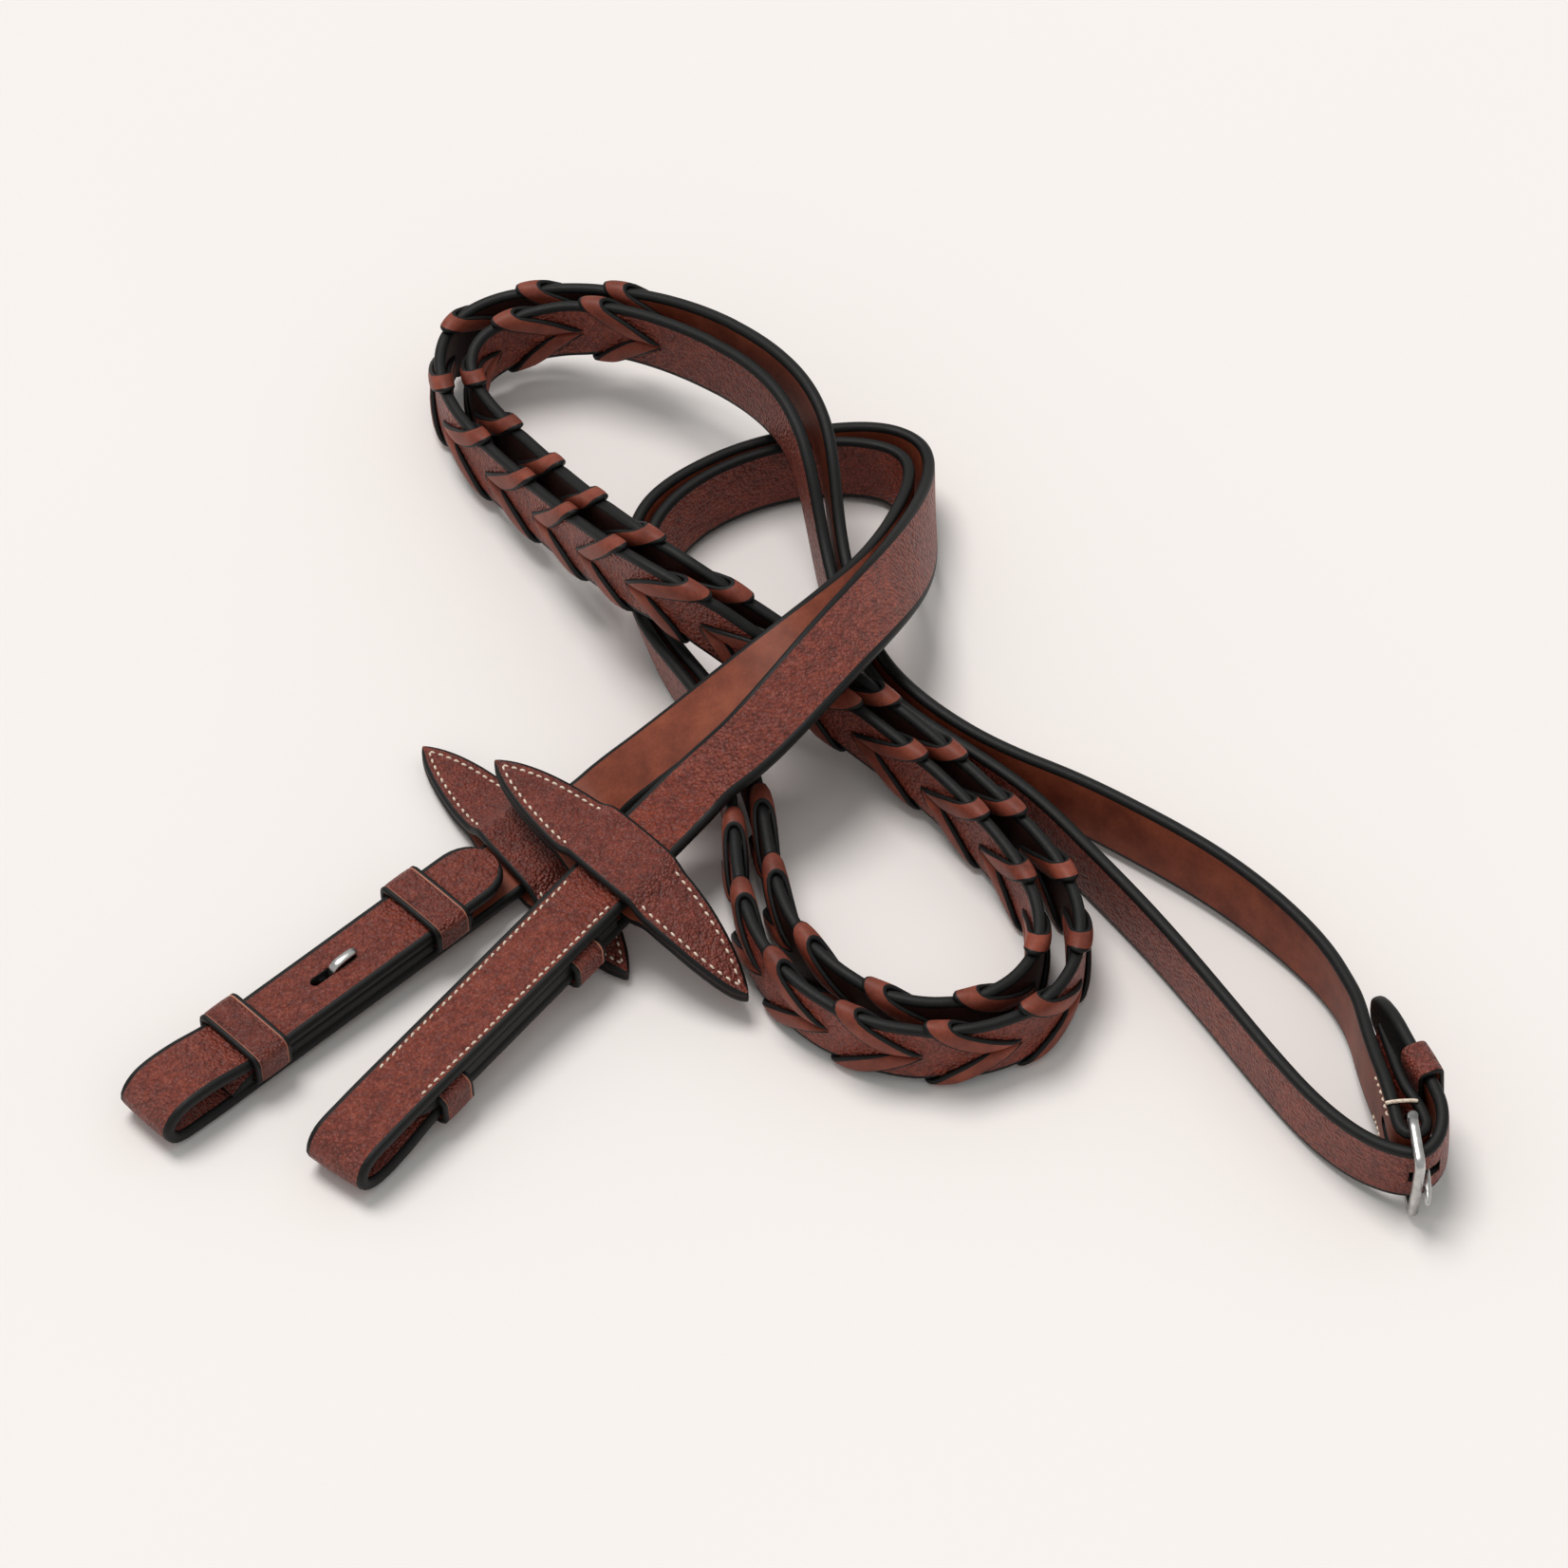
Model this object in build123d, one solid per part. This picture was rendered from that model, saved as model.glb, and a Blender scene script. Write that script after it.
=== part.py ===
"""Pair of laced leather reins, buckled together at the hand end and laid down in loose loops.

Millimetres, +Z up, floor at z = 0, origin under the middle of the whole pair.
Rein A carries the centre buckle, rein B ends in the plain point that runs through it.
Every strap follows one smooth quadratic B-spline. Each control point holds a position
and the direction across the strap's width, so a strap can lie flat, stand on edge and twist.
"""

import math
import os

import numpy as np
from build123d import *

os.makedirs("parts", exist_ok=True)

# ---------------------------------------------------------------- driving dimensions
STRAP_W = 16.0          # width of the rein leather
STRAP_T = 3.0           # thickness of the rein leather
EDGE_EASE = 0.55        # how far its edges are eased
RETURN_LEN = 99.0       # billet end to bit loop, not used as a cut but kept for reference
LINING_NEAR = 1.56      # stitched lining, nearest face to the strap's middle
LINING_THIN = 2.45      # the same under a keeper, where the keeper's end is caught
LINING_FAR = 4.4
LINING_W = 15.6
KEEPER_W = 9.6         # length of a keeper along the strap
KEEPER_T = 1.4
KEEPER_IN = 8.35        # half the inside width of a keeper
KEEPER_OUTER = 9.3      # outside of an upper keeper from the middle of the main layer
KEEPER_LOWER = 10.2     # the same for a lower keeper, where the loop starts to open
STUD_SLOT_L = 12.0
STUD_SLOT_W = 3.4
STUD_R = 1.25
STOP_LEN = 80.0         # rein stop, tip to tip
STOP_W = 16.6           # its widest, measured along the strap
STOP_T = 2.05           # each of its two leather layers
STOP_GAP = 0.8          # free room round the strap, each side, in the thickness
STOP_CH = 8.75          # half the width of the passage for the strap
STOP_A_LIE = (-2.8, -0.14, -0.0012)   # how each stop lies across its strap: shift along it, slant, bow
STOP_B_LIE = (-2.4, -0.15, -0.0006)
LACE_PITCH = 21.0
LACE_ARM = 13.0         # how far a lace arm runs along the strap between slot and edge
LACE_HALF = 3.4         # half of the lace band, measured along the strap
LACE_N0, LACE_N1 = 2.12, 2.87
LACE_A0, LACE_A1 = 8.4, 9.25
FRAME_L = 12.0          # hinge bar to front bar
FRAME_H = 21.4
FRAME_T = 2.2
HINGE_R = 1.1
PITCH_DEG = 7.0
TONGUE_T = 1.8
TONGUE_H = 2.2

# arc length stations along each rein, from the billet tip
A_LOOP_END, B_LOOP_END = 101.5, 100.5
A_LINING, B_LINING = (122.5, 190.0), (122.5, 186.5)
A_KEEPERS, B_KEEPERS = (131.5, 183.0), (130.5, 175.0)
A_STUD, B_STUD = 157.5, 153.5
A_STOP, B_STOP = 216.0, 200.0
A_LACE, B_LACE = (523.0, 943.0), (524.0, 944.0)

# position and width direction of the control points, billet tip to buckle end
ROUTE_A = [
    (-62.98, -35.41, 10.65, -0.690, 0.724, 0.000),
    (-73.12, -45.06, 10.19, -0.690, 0.724, 0.000),
    (-83.22, -54.67, 9.73, -0.690, 0.724, 0.000),
    (-93.58, -64.54, 9.26, -0.690, 0.724, 0.000),
    (-102.39, -72.92, 8.86, -0.690, 0.724, 0.000),
    (-108.66, -78.90, 8.59, -0.690, 0.724, 0.000),
    (-114.33, -84.29, 8.23, -0.690, 0.724, 0.000),
    (-120.37, -90.05, 9.36, -0.690, 0.724, 0.000),
    (-124.76, -94.23, 10.46, -0.690, 0.724, 0.000),
    (-130.03, -99.24, 10.63, -0.690, 0.724, 0.000),
    (-133.15, -102.21, 9.50, -0.690, 0.724, -0.000),
    (-135.02, -103.99, 6.44, -0.690, 0.724, 0.000),
    (-134.46, -103.46, 3.71, -0.690, 0.724, -0.000),
    (-132.80, -101.88, 1.59, -0.690, 0.724, 0.000),
    (-126.95, -96.31, 1.64, -0.690, 0.724, -0.000),
    (-124.75, -94.22, 1.57, -0.690, 0.724, 0.000),
    (-114.83, -84.77, 2.05, -0.690, 0.724, -0.000),
    (-106.16, -76.51, 2.44, -0.690, 0.724, 0.000),
    (-97.19, -67.96, 2.84, -0.690, 0.724, -0.000),
    (-88.19, -59.39, 3.24, -0.690, 0.724, 0.000),
    (-79.12, -50.74, 3.64, -0.690, 0.724, -0.000),
    (-69.98, -42.03, 4.04, -0.690, 0.723, 0.000),
    (-60.76, -33.22, 4.43, -0.690, 0.724, -0.000),
    (-51.54, -24.47, 4.92, -0.694, 0.720, 0.000),
    (-41.67, -15.20, 4.89, -0.675, 0.743, -0.000),
    (-37.06, -12.49, 8.61, -0.469, 0.888, 0.001),
    (-30.31, -10.28, 13.67, -0.428, 0.902, -0.003),
    (-21.77, -6.66, 19.33, -0.439, 0.899, 0.003),
    (-12.11, -2.18, 25.43, -0.511, 0.863, 0.018),
    (-3.31, 2.42, 30.37, -0.599, 0.807, 0.052),
    (5.06, 8.67, 32.62, -0.686, 0.718, 0.153),
    (13.60, 18.73, 30.86, -0.716, 0.616, 0.350),
    (20.84, 32.61, 24.99, -0.624, 0.525, 0.595),
    (25.43, 48.06, 17.59, -0.412, 0.414, 0.811),
    (27.91, 62.25, 12.31, -0.159, 0.271, 0.948),
    (29.03, 73.23, 9.96, 0.025, 0.161, 0.998),
    (28.38, 80.39, 9.04, 0.088, 0.127, 0.996),
    (25.28, 84.44, 8.59, 0.077, 0.146, 0.987),
    (19.98, 86.50, 8.40, 0.044, 0.182, 0.982),
    (13.47, 87.21, 8.28, 0.005, 0.207, 0.978),
    (6.40, 86.73, 8.16, -0.035, 0.209, 0.978),
    (-1.46, 84.80, 8.17, -0.069, 0.198, 0.978),
    (-9.94, 81.04, 8.22, -0.101, 0.181, 0.979),
    (-17.62, 75.72, 8.25, -0.136, 0.163, 0.978),
    (-23.27, 69.74, 8.29, -0.176, 0.137, 0.976),
    (-26.87, 63.60, 8.30, -0.227, 0.091, 0.969),
    (-28.70, 56.83, 8.23, -0.281, 0.033, 0.959),
    (-29.03, 48.80, 8.16, -0.307, -0.015, 0.953),
    (-28.06, 39.84, 8.18, -0.277, -0.045, 0.960),
    (-25.61, 30.82, 8.30, -0.207, -0.059, 0.977),
    (-21.49, 22.05, 8.50, -0.127, -0.054, 0.991),
    (-16.19, 12.53, 8.81, -0.055, -0.028, 0.998),
    (-10.87, 1.10, 9.16, -0.007, -0.005, 1.000),
    (-6.81, -11.84, 9.37, 0.007, 0.003, 1.000),
    (-4.41, -24.95, 9.40, 0.003, 0.001, 1.000),
    (-2.88, -37.40, 9.39, -0.001, -0.000, 1.000),
    (-1.10, -48.52, 9.38, -0.000, -0.000, 1.000),
    (1.83, -57.88, 9.38, 0.000, 0.000, 1.000),
    (6.51, -66.06, 9.39, -0.000, -0.000, 1.000),
    (13.11, -73.66, 9.39, 0.000, 0.000, 1.000),
    (21.59, -79.75, 9.39, -0.000, -0.000, 1.000),
    (31.64, -82.50, 9.39, 0.000, -0.000, 1.000),
    (42.07, -80.79, 9.39, -0.000, 0.001, 1.000),
    (50.71, -74.65, 9.39, -0.001, 0.001, 1.000),
    (55.42, -65.18, 9.37, -0.000, -0.002, 1.000),
    (55.48, -54.24, 9.41, 0.003, -0.012, 1.000),
    (51.97, -43.50, 9.58, 0.007, -0.020, 1.000),
    (46.33, -33.23, 9.84, 0.013, -0.026, 1.000),
    (38.97, -22.65, 10.26, 0.027, -0.040, 0.999),
    (29.75, -11.88, 11.18, 0.061, -0.069, 0.997),
    (18.77, -1.93, 13.04, 0.125, -0.104, 0.987),
    (7.22, 6.40, 16.09, 0.227, -0.136, 0.962),
    (-3.13, 12.58, 20.32, 0.327, -0.157, 0.936),
    (-11.98, 16.87, 25.28, 0.323, -0.157, 0.941),
    (-20.49, 20.78, 29.22, 0.173, -0.098, 0.976),
    (-28.84, 26.25, 30.17, -0.031, 0.048, 0.990),
    (-36.55, 34.77, 27.54, -0.158, 0.208, 0.969),
    (-44.15, 46.61, 22.32, -0.177, 0.268, 0.954),
    (-52.21, 59.98, 17.07, -0.140, 0.220, 0.966),
    (-60.64, 72.98, 13.34, -0.097, 0.147, 0.985),
    (-69.03, 85.17, 11.09, -0.053, 0.087, 0.996),
    (-76.10, 96.97, 10.02, -0.008, 0.027, 1.001),
    (-79.95, 108.48, 9.96, 0.012, -0.046, 1.000),
    (-79.71, 118.61, 10.61, -0.033, -0.115, 0.993),
    (-75.82, 125.72, 11.80, -0.135, -0.132, 0.980),
    (-69.37, 129.34, 13.46, -0.218, -0.083, 0.972),
    (-61.77, 130.48, 15.26, -0.222, -0.018, 0.976),
    (-54.13, 130.31, 16.75, -0.178, 0.019, 0.984),
    (-46.19, 129.09, 18.05, -0.152, 0.039, 0.988),
    (-37.07, 126.34, 19.64, -0.150, 0.058, 0.987),
    (-27.05, 121.66, 21.62, -0.143, 0.080, 0.987),
    (-17.40, 115.15, 23.72, -0.120, 0.094, 0.989),
    (-8.85, 107.50, 25.58, -0.080, 0.083, 0.994),
    (-1.23, 99.09, 26.82, -0.028, 0.047, 1.002),
    (5.11, 89.89, 27.16, 0.020, -0.029, 1.003),
    (9.19, 80.70, 26.14, 0.052, -0.181, 0.976),
    (11.01, 72.49, 23.38, 0.065, -0.361, 0.928),
    (11.87, 64.78, 19.20, 0.062, -0.434, 0.906),
    (12.84, 56.47, 15.02, 0.049, -0.350, 0.934),
    (14.30, 47.04, 12.13, 0.034, -0.201, 0.977),
    (16.41, 36.90, 10.66, 0.022, -0.089, 0.998),
    (18.92, 27.53, 10.02, 0.018, -0.045, 1.001),
    (21.89, 19.75, 9.58, 0.023, -0.042, 0.999),
    (26.60, 12.36, 9.08, 0.023, -0.037, 0.999),
    (34.06, 4.14, 8.68, 0.017, -0.013, 1.000),
    (43.36, -3.99, 8.55, 0.019, 0.025, 1.000),
    (52.71, -10.36, 8.59, 0.035, 0.067, 0.997),
    (61.07, -15.11, 8.64, 0.059, 0.100, 0.993),
    (68.73, -19.94, 8.66, 0.079, 0.119, 0.990),
    (77.08, -25.88, 8.71, 0.091, 0.134, 0.987),
    (86.60, -33.03, 8.85, 0.108, 0.138, 0.985),
    (96.38, -41.29, 8.87, 0.135, 0.110, 0.985),
    (105.54, -50.32, 8.43, 0.135, 0.068, 0.989),
    (113.23, -59.47, 8.03, 0.068, 0.062, 0.993),
    (118.44, -67.90, 8.41, -0.019, 0.083, 0.995),
    (121.30, -75.37, 9.27, -0.049, 0.099, 0.995),
    (123.22, -82.00, 9.95, -0.019, 0.109, 0.994),
    (124.24, -90.60, 10.91, -0.017, 0.112, 0.994),
    (125.95, -100.14, 11.84, -0.018, 0.095, 0.994),
    (127.58, -107.30, 12.67, -0.034, 0.148, 0.995),
    (128.22, -113.71, 12.67, 0.053, -0.160, 0.992),
    (128.69, -117.17, 12.61, 0.038, -0.107, 0.993),
    (129.64, -119.09, 12.56, 0.041, -0.116, 0.993),
    (130.98, -119.74, 12.51, 0.040, -0.115, 0.993),
    (132.48, -119.76, 12.47, 0.040, -0.115, 0.993),
    (133.83, -119.06, 12.42, 0.040, -0.115, 0.993),
    (134.78, -117.86, 12.38, 0.040, -0.115, 0.993),
    (134.84, -115.66, 12.33, 0.040, -0.115, 0.993),
    (133.92, -112.23, 12.29, 0.040, -0.115, 0.993),
    (131.03, -106.30, 12.18, 0.040, -0.115, 0.993),
    (129.40, -99.13, 11.24, 0.040, -0.115, 0.993),
    (127.83, -89.76, 10.18, 0.040, -0.115, 0.993),
]
ROUTE_B = [
    (-33.85, -41.67, 10.57, -0.785, 0.619, 0.000),
    (-42.51, -52.64, 9.67, -0.785, 0.619, 0.000),
    (-51.13, -63.58, 8.78, -0.785, 0.619, 0.000),
    (-59.93, -74.73, 7.87, -0.785, 0.619, 0.000),
    (-67.75, -84.65, 7.06, -0.785, 0.619, -0.000),
    (-71.35, -89.23, 6.67, -0.785, 0.619, 0.000),
    (-76.49, -95.74, 6.24, -0.785, 0.619, -0.000),
    (-81.60, -102.22, 4.32, -0.785, 0.619, 0.000),
    (-85.36, -106.99, 2.63, -0.785, 0.619, -0.000),
    (-89.85, -112.68, 1.75, -0.785, 0.619, 0.000),
    (-92.51, -116.06, 2.47, -0.785, 0.619, -0.000),
    (-94.11, -118.09, 5.27, -0.785, 0.619, 0.000),
    (-93.63, -117.48, 8.08, -0.785, 0.619, -0.000),
    (-92.20, -115.66, 10.42, -0.785, 0.619, 0.000),
    (-87.31, -109.47, 11.14, -0.785, 0.619, -0.000),
    (-84.81, -106.29, 11.57, -0.785, 0.619, 0.000),
    (-75.06, -93.93, 12.55, -0.785, 0.619, -0.000),
    (-66.46, -83.02, 13.44, -0.786, 0.619, 0.000),
    (-57.56, -71.71, 14.34, -0.786, 0.619, -0.000),
    (-48.62, -60.34, 15.24, -0.786, 0.618, 0.000),
    (-39.58, -48.83, 16.13, -0.785, 0.619, -0.000),
    (-30.42, -37.28, 17.12, -0.791, 0.610, 0.001),
    (-21.33, -25.08, 17.45, -0.764, 0.658, -0.006),
    (-14.76, -20.00, 21.71, -0.478, 0.890, 0.035),
    (-7.61, -17.42, 27.32, -0.663, 0.743, 0.049),
    (1.09, -9.41, 32.30, -0.774, 0.630, 0.102),
    (11.13, 3.95, 34.58, -0.833, 0.531, 0.235),
    (20.74, 20.94, 31.37, -0.754, 0.494, 0.458),
    (28.28, 40.64, 23.33, -0.534, 0.455, 0.709),
    (32.84, 60.77, 14.73, -0.235, 0.355, 0.899),
    (34.16, 76.59, 9.66, 0.002, 0.219, 0.986),
    (32.50, 85.60, 8.26, 0.089, 0.129, 1.000),
    (28.82, 89.81, 8.24, 0.077, 0.123, 0.992),
    (23.83, 91.81, 8.28, 0.041, 0.161, 0.985),
    (16.90, 92.23, 8.25, 0.001, 0.189, 0.982),
    (7.54, 90.99, 8.19, -0.036, 0.191, 0.981),
    (-2.43, 88.29, 8.16, -0.066, 0.184, 0.981),
    (-11.03, 84.48, 8.22, -0.093, 0.181, 0.979),
    (-18.34, 79.80, 8.25, -0.119, 0.177, 0.978),
    (-24.58, 74.56, 8.29, -0.153, 0.165, 0.975),
    (-29.10, 68.91, 8.34, -0.206, 0.129, 0.970),
    (-31.67, 62.20, 8.29, -0.270, 0.069, 0.960),
    (-32.66, 53.65, 8.07, -0.313, 0.008, 0.951),
    (-32.38, 43.91, 7.87, -0.307, -0.040, 0.952),
    (-30.73, 34.66, 8.08, -0.258, -0.073, 0.964),
    (-27.50, 26.17, 8.41, -0.194, -0.079, 0.979),
    (-23.05, 17.76, 8.73, -0.127, -0.057, 0.991),
    (-18.34, 8.52, 8.98, -0.058, -0.024, 0.998),
    (-14.51, -2.51, 9.17, -0.008, -0.002, 1.000),
    (-12.08, -15.38, 9.27, 0.007, 0.003, 1.000),
    (-10.73, -28.97, 9.26, 0.003, 0.001, 1.000),
    (-9.94, -41.77, 9.36, -0.001, -0.000, 1.000),
    (-8.51, -53.04, 9.39, -0.000, -0.000, 1.000),
    (-5.45, -63.20, 9.39, 0.000, 0.000, 1.000),
    (-0.07, -72.70, 9.39, -0.000, -0.000, 1.000),
    (7.75, -81.10, 9.39, 0.000, 0.000, 1.000),
    (17.61, -87.25, 9.39, 0.000, -0.000, 1.000),
    (28.81, -90.15, 9.39, -0.000, 0.000, 1.000),
    (40.16, -89.61, 9.38, 0.000, -0.000, 1.000),
    (50.27, -86.04, 9.38, 0.000, -0.000, 1.000),
    (58.25, -79.60, 9.39, -0.000, 0.001, 1.000),
    (63.42, -69.96, 9.39, -0.001, 0.002, 1.000),
    (64.84, -57.74, 9.36, 0.000, -0.002, 1.000),
    (62.06, -45.11, 9.37, 0.006, -0.013, 1.000),
    (55.74, -33.52, 9.56, 0.016, -0.027, 1.000),
    (47.27, -22.42, 10.04, 0.032, -0.044, 0.999),
    (37.84, -11.48, 11.00, 0.068, -0.071, 0.995),
    (27.54, -1.40, 12.87, 0.127, -0.102, 0.986),
    (16.14, 7.52, 15.92, 0.188, -0.128, 0.974),
    (4.36, 15.17, 19.76, 0.227, -0.144, 0.964),
    (-6.44, 21.54, 23.68, 0.228, -0.152, 0.968),
    (-15.79, 26.67, 27.36, 0.166, -0.125, 0.984),
    (-24.29, 31.90, 29.80, 0.027, -0.004, 0.988),
    (-33.25, 41.11, 28.52, -0.117, 0.168, 0.972),
    (-43.28, 56.51, 22.76, -0.167, 0.257, 0.960),
    (-53.41, 74.08, 16.25, -0.130, 0.222, 0.970),
    (-62.36, 88.75, 12.30, -0.062, 0.130, 0.990),
    (-69.28, 100.21, 10.97, -0.002, 0.009, 0.999),
    (-72.60, 109.87, 11.38, -0.014, -0.118, 0.992),
    (-70.97, 117.21, 12.80, -0.113, -0.171, 0.977),
    (-65.23, 121.47, 14.58, -0.204, -0.118, 0.972),
    (-57.38, 123.36, 16.36, -0.218, -0.031, 0.977),
    (-48.54, 123.31, 18.14, -0.184, 0.030, 0.983),
    (-38.77, 120.50, 19.96, -0.143, 0.063, 0.988),
    (-27.98, 114.38, 21.85, -0.113, 0.081, 0.990),
    (-17.06, 105.80, 23.91, -0.097, 0.100, 0.992),
    (-7.67, 96.03, 26.02, -0.073, 0.105, 0.999),
    (-0.83, 85.84, 27.30, -0.015, 0.024, 1.001),
    (3.44, 76.32, 26.42, 0.057, -0.175, 0.971),
    (5.85, 68.16, 23.08, 0.100, -0.379, 0.922),
    (7.54, 60.49, 18.33, 0.095, -0.429, 0.907),
    (9.30, 51.74, 13.95, 0.063, -0.313, 0.944),
    (11.46, 41.22, 11.14, 0.030, -0.153, 0.986),
    (14.09, 29.69, 9.84, 0.015, -0.056, 1.002),
    (17.55, 18.61, 9.24, 0.016, -0.029, 1.001),
    (23.06, 8.91, 8.71, 0.019, -0.024, 1.000),
    (31.74, 0.30, 8.26, 0.013, -0.013, 1.000),
    (42.40, -8.39, 8.09, 0.003, -0.001, 1.000),
    (52.26, -17.51, 8.09, -0.001, 0.002, 1.000),
    (59.67, -26.34, 8.09, -0.001, 0.000, 1.000),
    (65.58, -34.59, 8.09, 0.000, -0.000, 1.000),
    (71.68, -43.10, 8.09, -0.000, 0.000, 1.000),
    (78.61, -53.06, 8.11, -0.000, 0.000, 1.000),
    (86.56, -65.46, 8.14, 0.001, -0.001, 1.000),
    (95.38, -80.14, 8.13, 0.004, -0.006, 1.000),
    (104.12, -94.96, 8.04, 0.003, 0.006, 1.001),
    (112.10, -107.34, 8.26, -0.027, 0.047, 0.998),
    (119.49, -116.24, 9.23, -0.101, 0.075, 0.991),
    (125.96, -121.70, 10.59, -0.165, 0.036, 0.986),
    (130.58, -123.83, 11.44, -0.150, -0.041, 0.986),
    (133.41, -124.30, 11.49, -0.018, -0.113, 0.995),
    (136.87, -121.79, 11.92, -0.055, -0.122, 0.991),
    (138.74, -117.85, 12.55, -0.060, -0.095, 0.994),
    (139.13, -112.78, 12.92, -0.063, -0.048, 0.997),
    (137.88, -107.35, 13.01, -0.089, -0.025, 0.996),
    (134.80, -99.90, 12.88, -0.071, -0.007, 0.998),
    (132.13, -92.66, 12.69, -0.063, 0.020, 0.998),
    (129.62, -85.37, 12.26, -0.050, 0.038, 0.998),
    (126.82, -78.57, 12.26, -0.050, 0.038, 0.998),
]


# ---------------------------------------------------------------- strap geometry
def bspline(ctrl, per=24):
    """Clamped uniform quadratic B-spline through control rows of any width."""
    ctrl = np.array(ctrl, float)
    n = len(ctrl)
    out = []
    for seg in range(n - 2):
        p0, p1, p2 = ctrl[seg], ctrl[seg + 1], ctrl[seg + 2]
        a = p0 if seg == 0 else (p0 + p1) / 2
        b = p2 if seg == n - 3 else (p1 + p2) / 2
        for k in range(per):
            t = k / per
            out.append((1 - t) ** 2 * a + 2 * t * (1 - t) * p1 + t * t * b)
    out.append(ctrl[-1])
    return np.array(out)


class Rein:
    def __init__(self, table):
        rows = bspline(table)
        self.c = rows[:, :3]
        step = np.linalg.norm(np.diff(self.c, axis=0), axis=1)
        keep = np.concatenate([[True], step > 1e-6])
        rows = rows[keep]
        self.c = rows[:, :3]
        self.s = np.concatenate([[0.0], np.cumsum(np.linalg.norm(np.diff(self.c, axis=0), axis=1))])
        t = np.gradient(self.c, self.s, axis=0)
        self.t = t / np.linalg.norm(t, axis=1)[:, None]
        d = rows[:, 3:6]
        d = d - self.t * (d * self.t).sum(1)[:, None]
        self.d = d / np.linalg.norm(d, axis=1)[:, None]
        self.length = float(self.s[-1])

    def at(self, s):
        f = lambda arr: np.array([np.interp(s, self.s, arr[:, i]) for i in range(3)])
        c = f(self.c)
        t = f(self.t)
        t /= np.linalg.norm(t)
        d = f(self.d)
        d -= t * (d @ t)
        d /= np.linalg.norm(d)
        return c, t, d, np.cross(t, d)

    def point(self, s, a=0.0, n=0.0):
        c, t, d, nn = self.at(s)
        return c + a * d + n * nn

    def stations(self, s0, s1, far=9.0, turn=14.0):
        """Stations from s0 to s1, closer together where the strap bends."""
        out = [s0]
        last = self.at(s0)
        x = s0
        while x < s1 - 1e-9:
            x = min(x + 0.5, s1)
            now = self.at(x)
            bend = math.degrees(math.acos(max(-1.0, min(1.0, float(last[1] @ now[1])))))
            twist = math.degrees(math.acos(max(-1.0, min(1.0, float(last[2] @ now[2])))))
            if x - out[-1] >= far or bend >= turn or twist >= turn or x >= s1:
                out.append(x)
                last = now
        if len(out) > 2 and out[-1] - out[-2] < 1.2:
            out.pop(-2)
        return out


def flat_face(points):
    pts = [tuple(round(float(v), 6) for v in p) for p in points]
    return Face(Wire.make_polygon([Vector(*p) for p in pts], close=True))


def chain(rings):
    """Closed solid with flat faces through a row of rings with equal corner counts."""
    faces = []
    k = len(rings[0])
    rings = [[np.array([round(float(v), 6) for v in p]) for p in ring] for ring in rings]
    for a, b in zip(rings[:-1], rings[1:]):
        for i in range(k):
            j = (i + 1) % k
            faces.append(flat_face([a[i], a[j], b[j]]))
            faces.append(flat_face([a[i], b[j], b[i]]))
    for ring, flip in ((rings[0], True), (rings[-1], False)):
        for i in range(1, k - 1):
            faces.append(flat_face([ring[0], ring[i], ring[i + 1]]))
    solid = Solid(Shell(faces))
    if solid.volume < 0:
        solid = Solid(Shell([-f for f in faces]))
    return solid


def box_ring(rein, s, a0, a1, n0, n1):
    return [rein.point(s, a0, n0), rein.point(s, a1, n0), rein.point(s, a1, n1), rein.point(s, a0, n1)]


def oriented_box(origin, x, y, z, lx, ly, lz):
    """Box centred on origin with its sides along the unit vectors x, y, z."""
    corners = []
    for sx in (-lx / 2, lx / 2):
        corners.append([origin + x * sx + y * sy + z * sz for sy, sz in
                        ((-ly / 2, -lz / 2), (ly / 2, -lz / 2), (ly / 2, lz / 2), (-ly / 2, lz / 2))])
    return chain(corners)


def save(name, solids):
    shape = solids[0] if len(solids) == 1 else Compound(children=list(solids))
    shape.label = name
    export_step(shape, f"parts/{name}.step")


A = Rein(ROUTE_A)
B = Rein(ROUTE_B)


def tip_round(x):
    """Half width near a rounded billet end, x from the very tip."""
    pts = [(0.0, 3.2), (1.0, 5.0), (2.5, 6.4), (4.5, 7.3), (7.0, 7.85), (9.5, STRAP_W / 2)]
    return float(np.interp(x, [p[0] for p in pts], [p[1] for p in pts]))


def tip_point(x):
    """Half width near the pointed end, x from the very tip."""
    pts = [(0.0, 2.6), (2.0, 4.6), (5.0, 6.2), (9.0, 7.4), (13.0, STRAP_W / 2)]
    return float(np.interp(x, [p[0] for p in pts], [p[1] for p in pts]))


def strap_ring(rein, s, w, n0, n1):
    """Section of the strap with its four edges eased."""
    e = min(EDGE_EASE, (n1 - n0) * 0.3)
    corners = ((-w + e, n0), (w - e, n0), (w, n0 + e), (w, n1 - e), (w - e, n1), (-w + e, n1), (-w, n1 - e), (-w, n0 + e))
    return [rein.point(s, a, n) for a, n in corners]


def strap(rein, name_tip):
    st = rein.stations(0.0, rein.length)
    extra = [1.0, 2.5, 4.5, 7.0, 9.5]
    L = rein.length
    if name_tip == "point":
        extra += [L - 2.0, L - 5.0, L - 9.0, L - 13.0]
    st = sorted(set([0.0, L] + extra + [s for s in st if s > 10.5 and (name_tip != "point" or s < L - 14.0)
                                         and s < L - 1.0]))
    rings = []
    for s in st:
        w = tip_round(s) if s < 10 else STRAP_W / 2
        n1 = STRAP_T / 2
        if name_tip == "point":
            w = min(w, tip_point(L - s))
        else:
            n1 = min(float(np.interp(L - s, [34, 46], [1.2, n1])), -STRAP_T / 2 + 1.3 + (L - s) * 0.14)
        rings.append(strap_ring(rein, s, w, -STRAP_T / 2, n1))
    return chain(rings)


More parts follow.
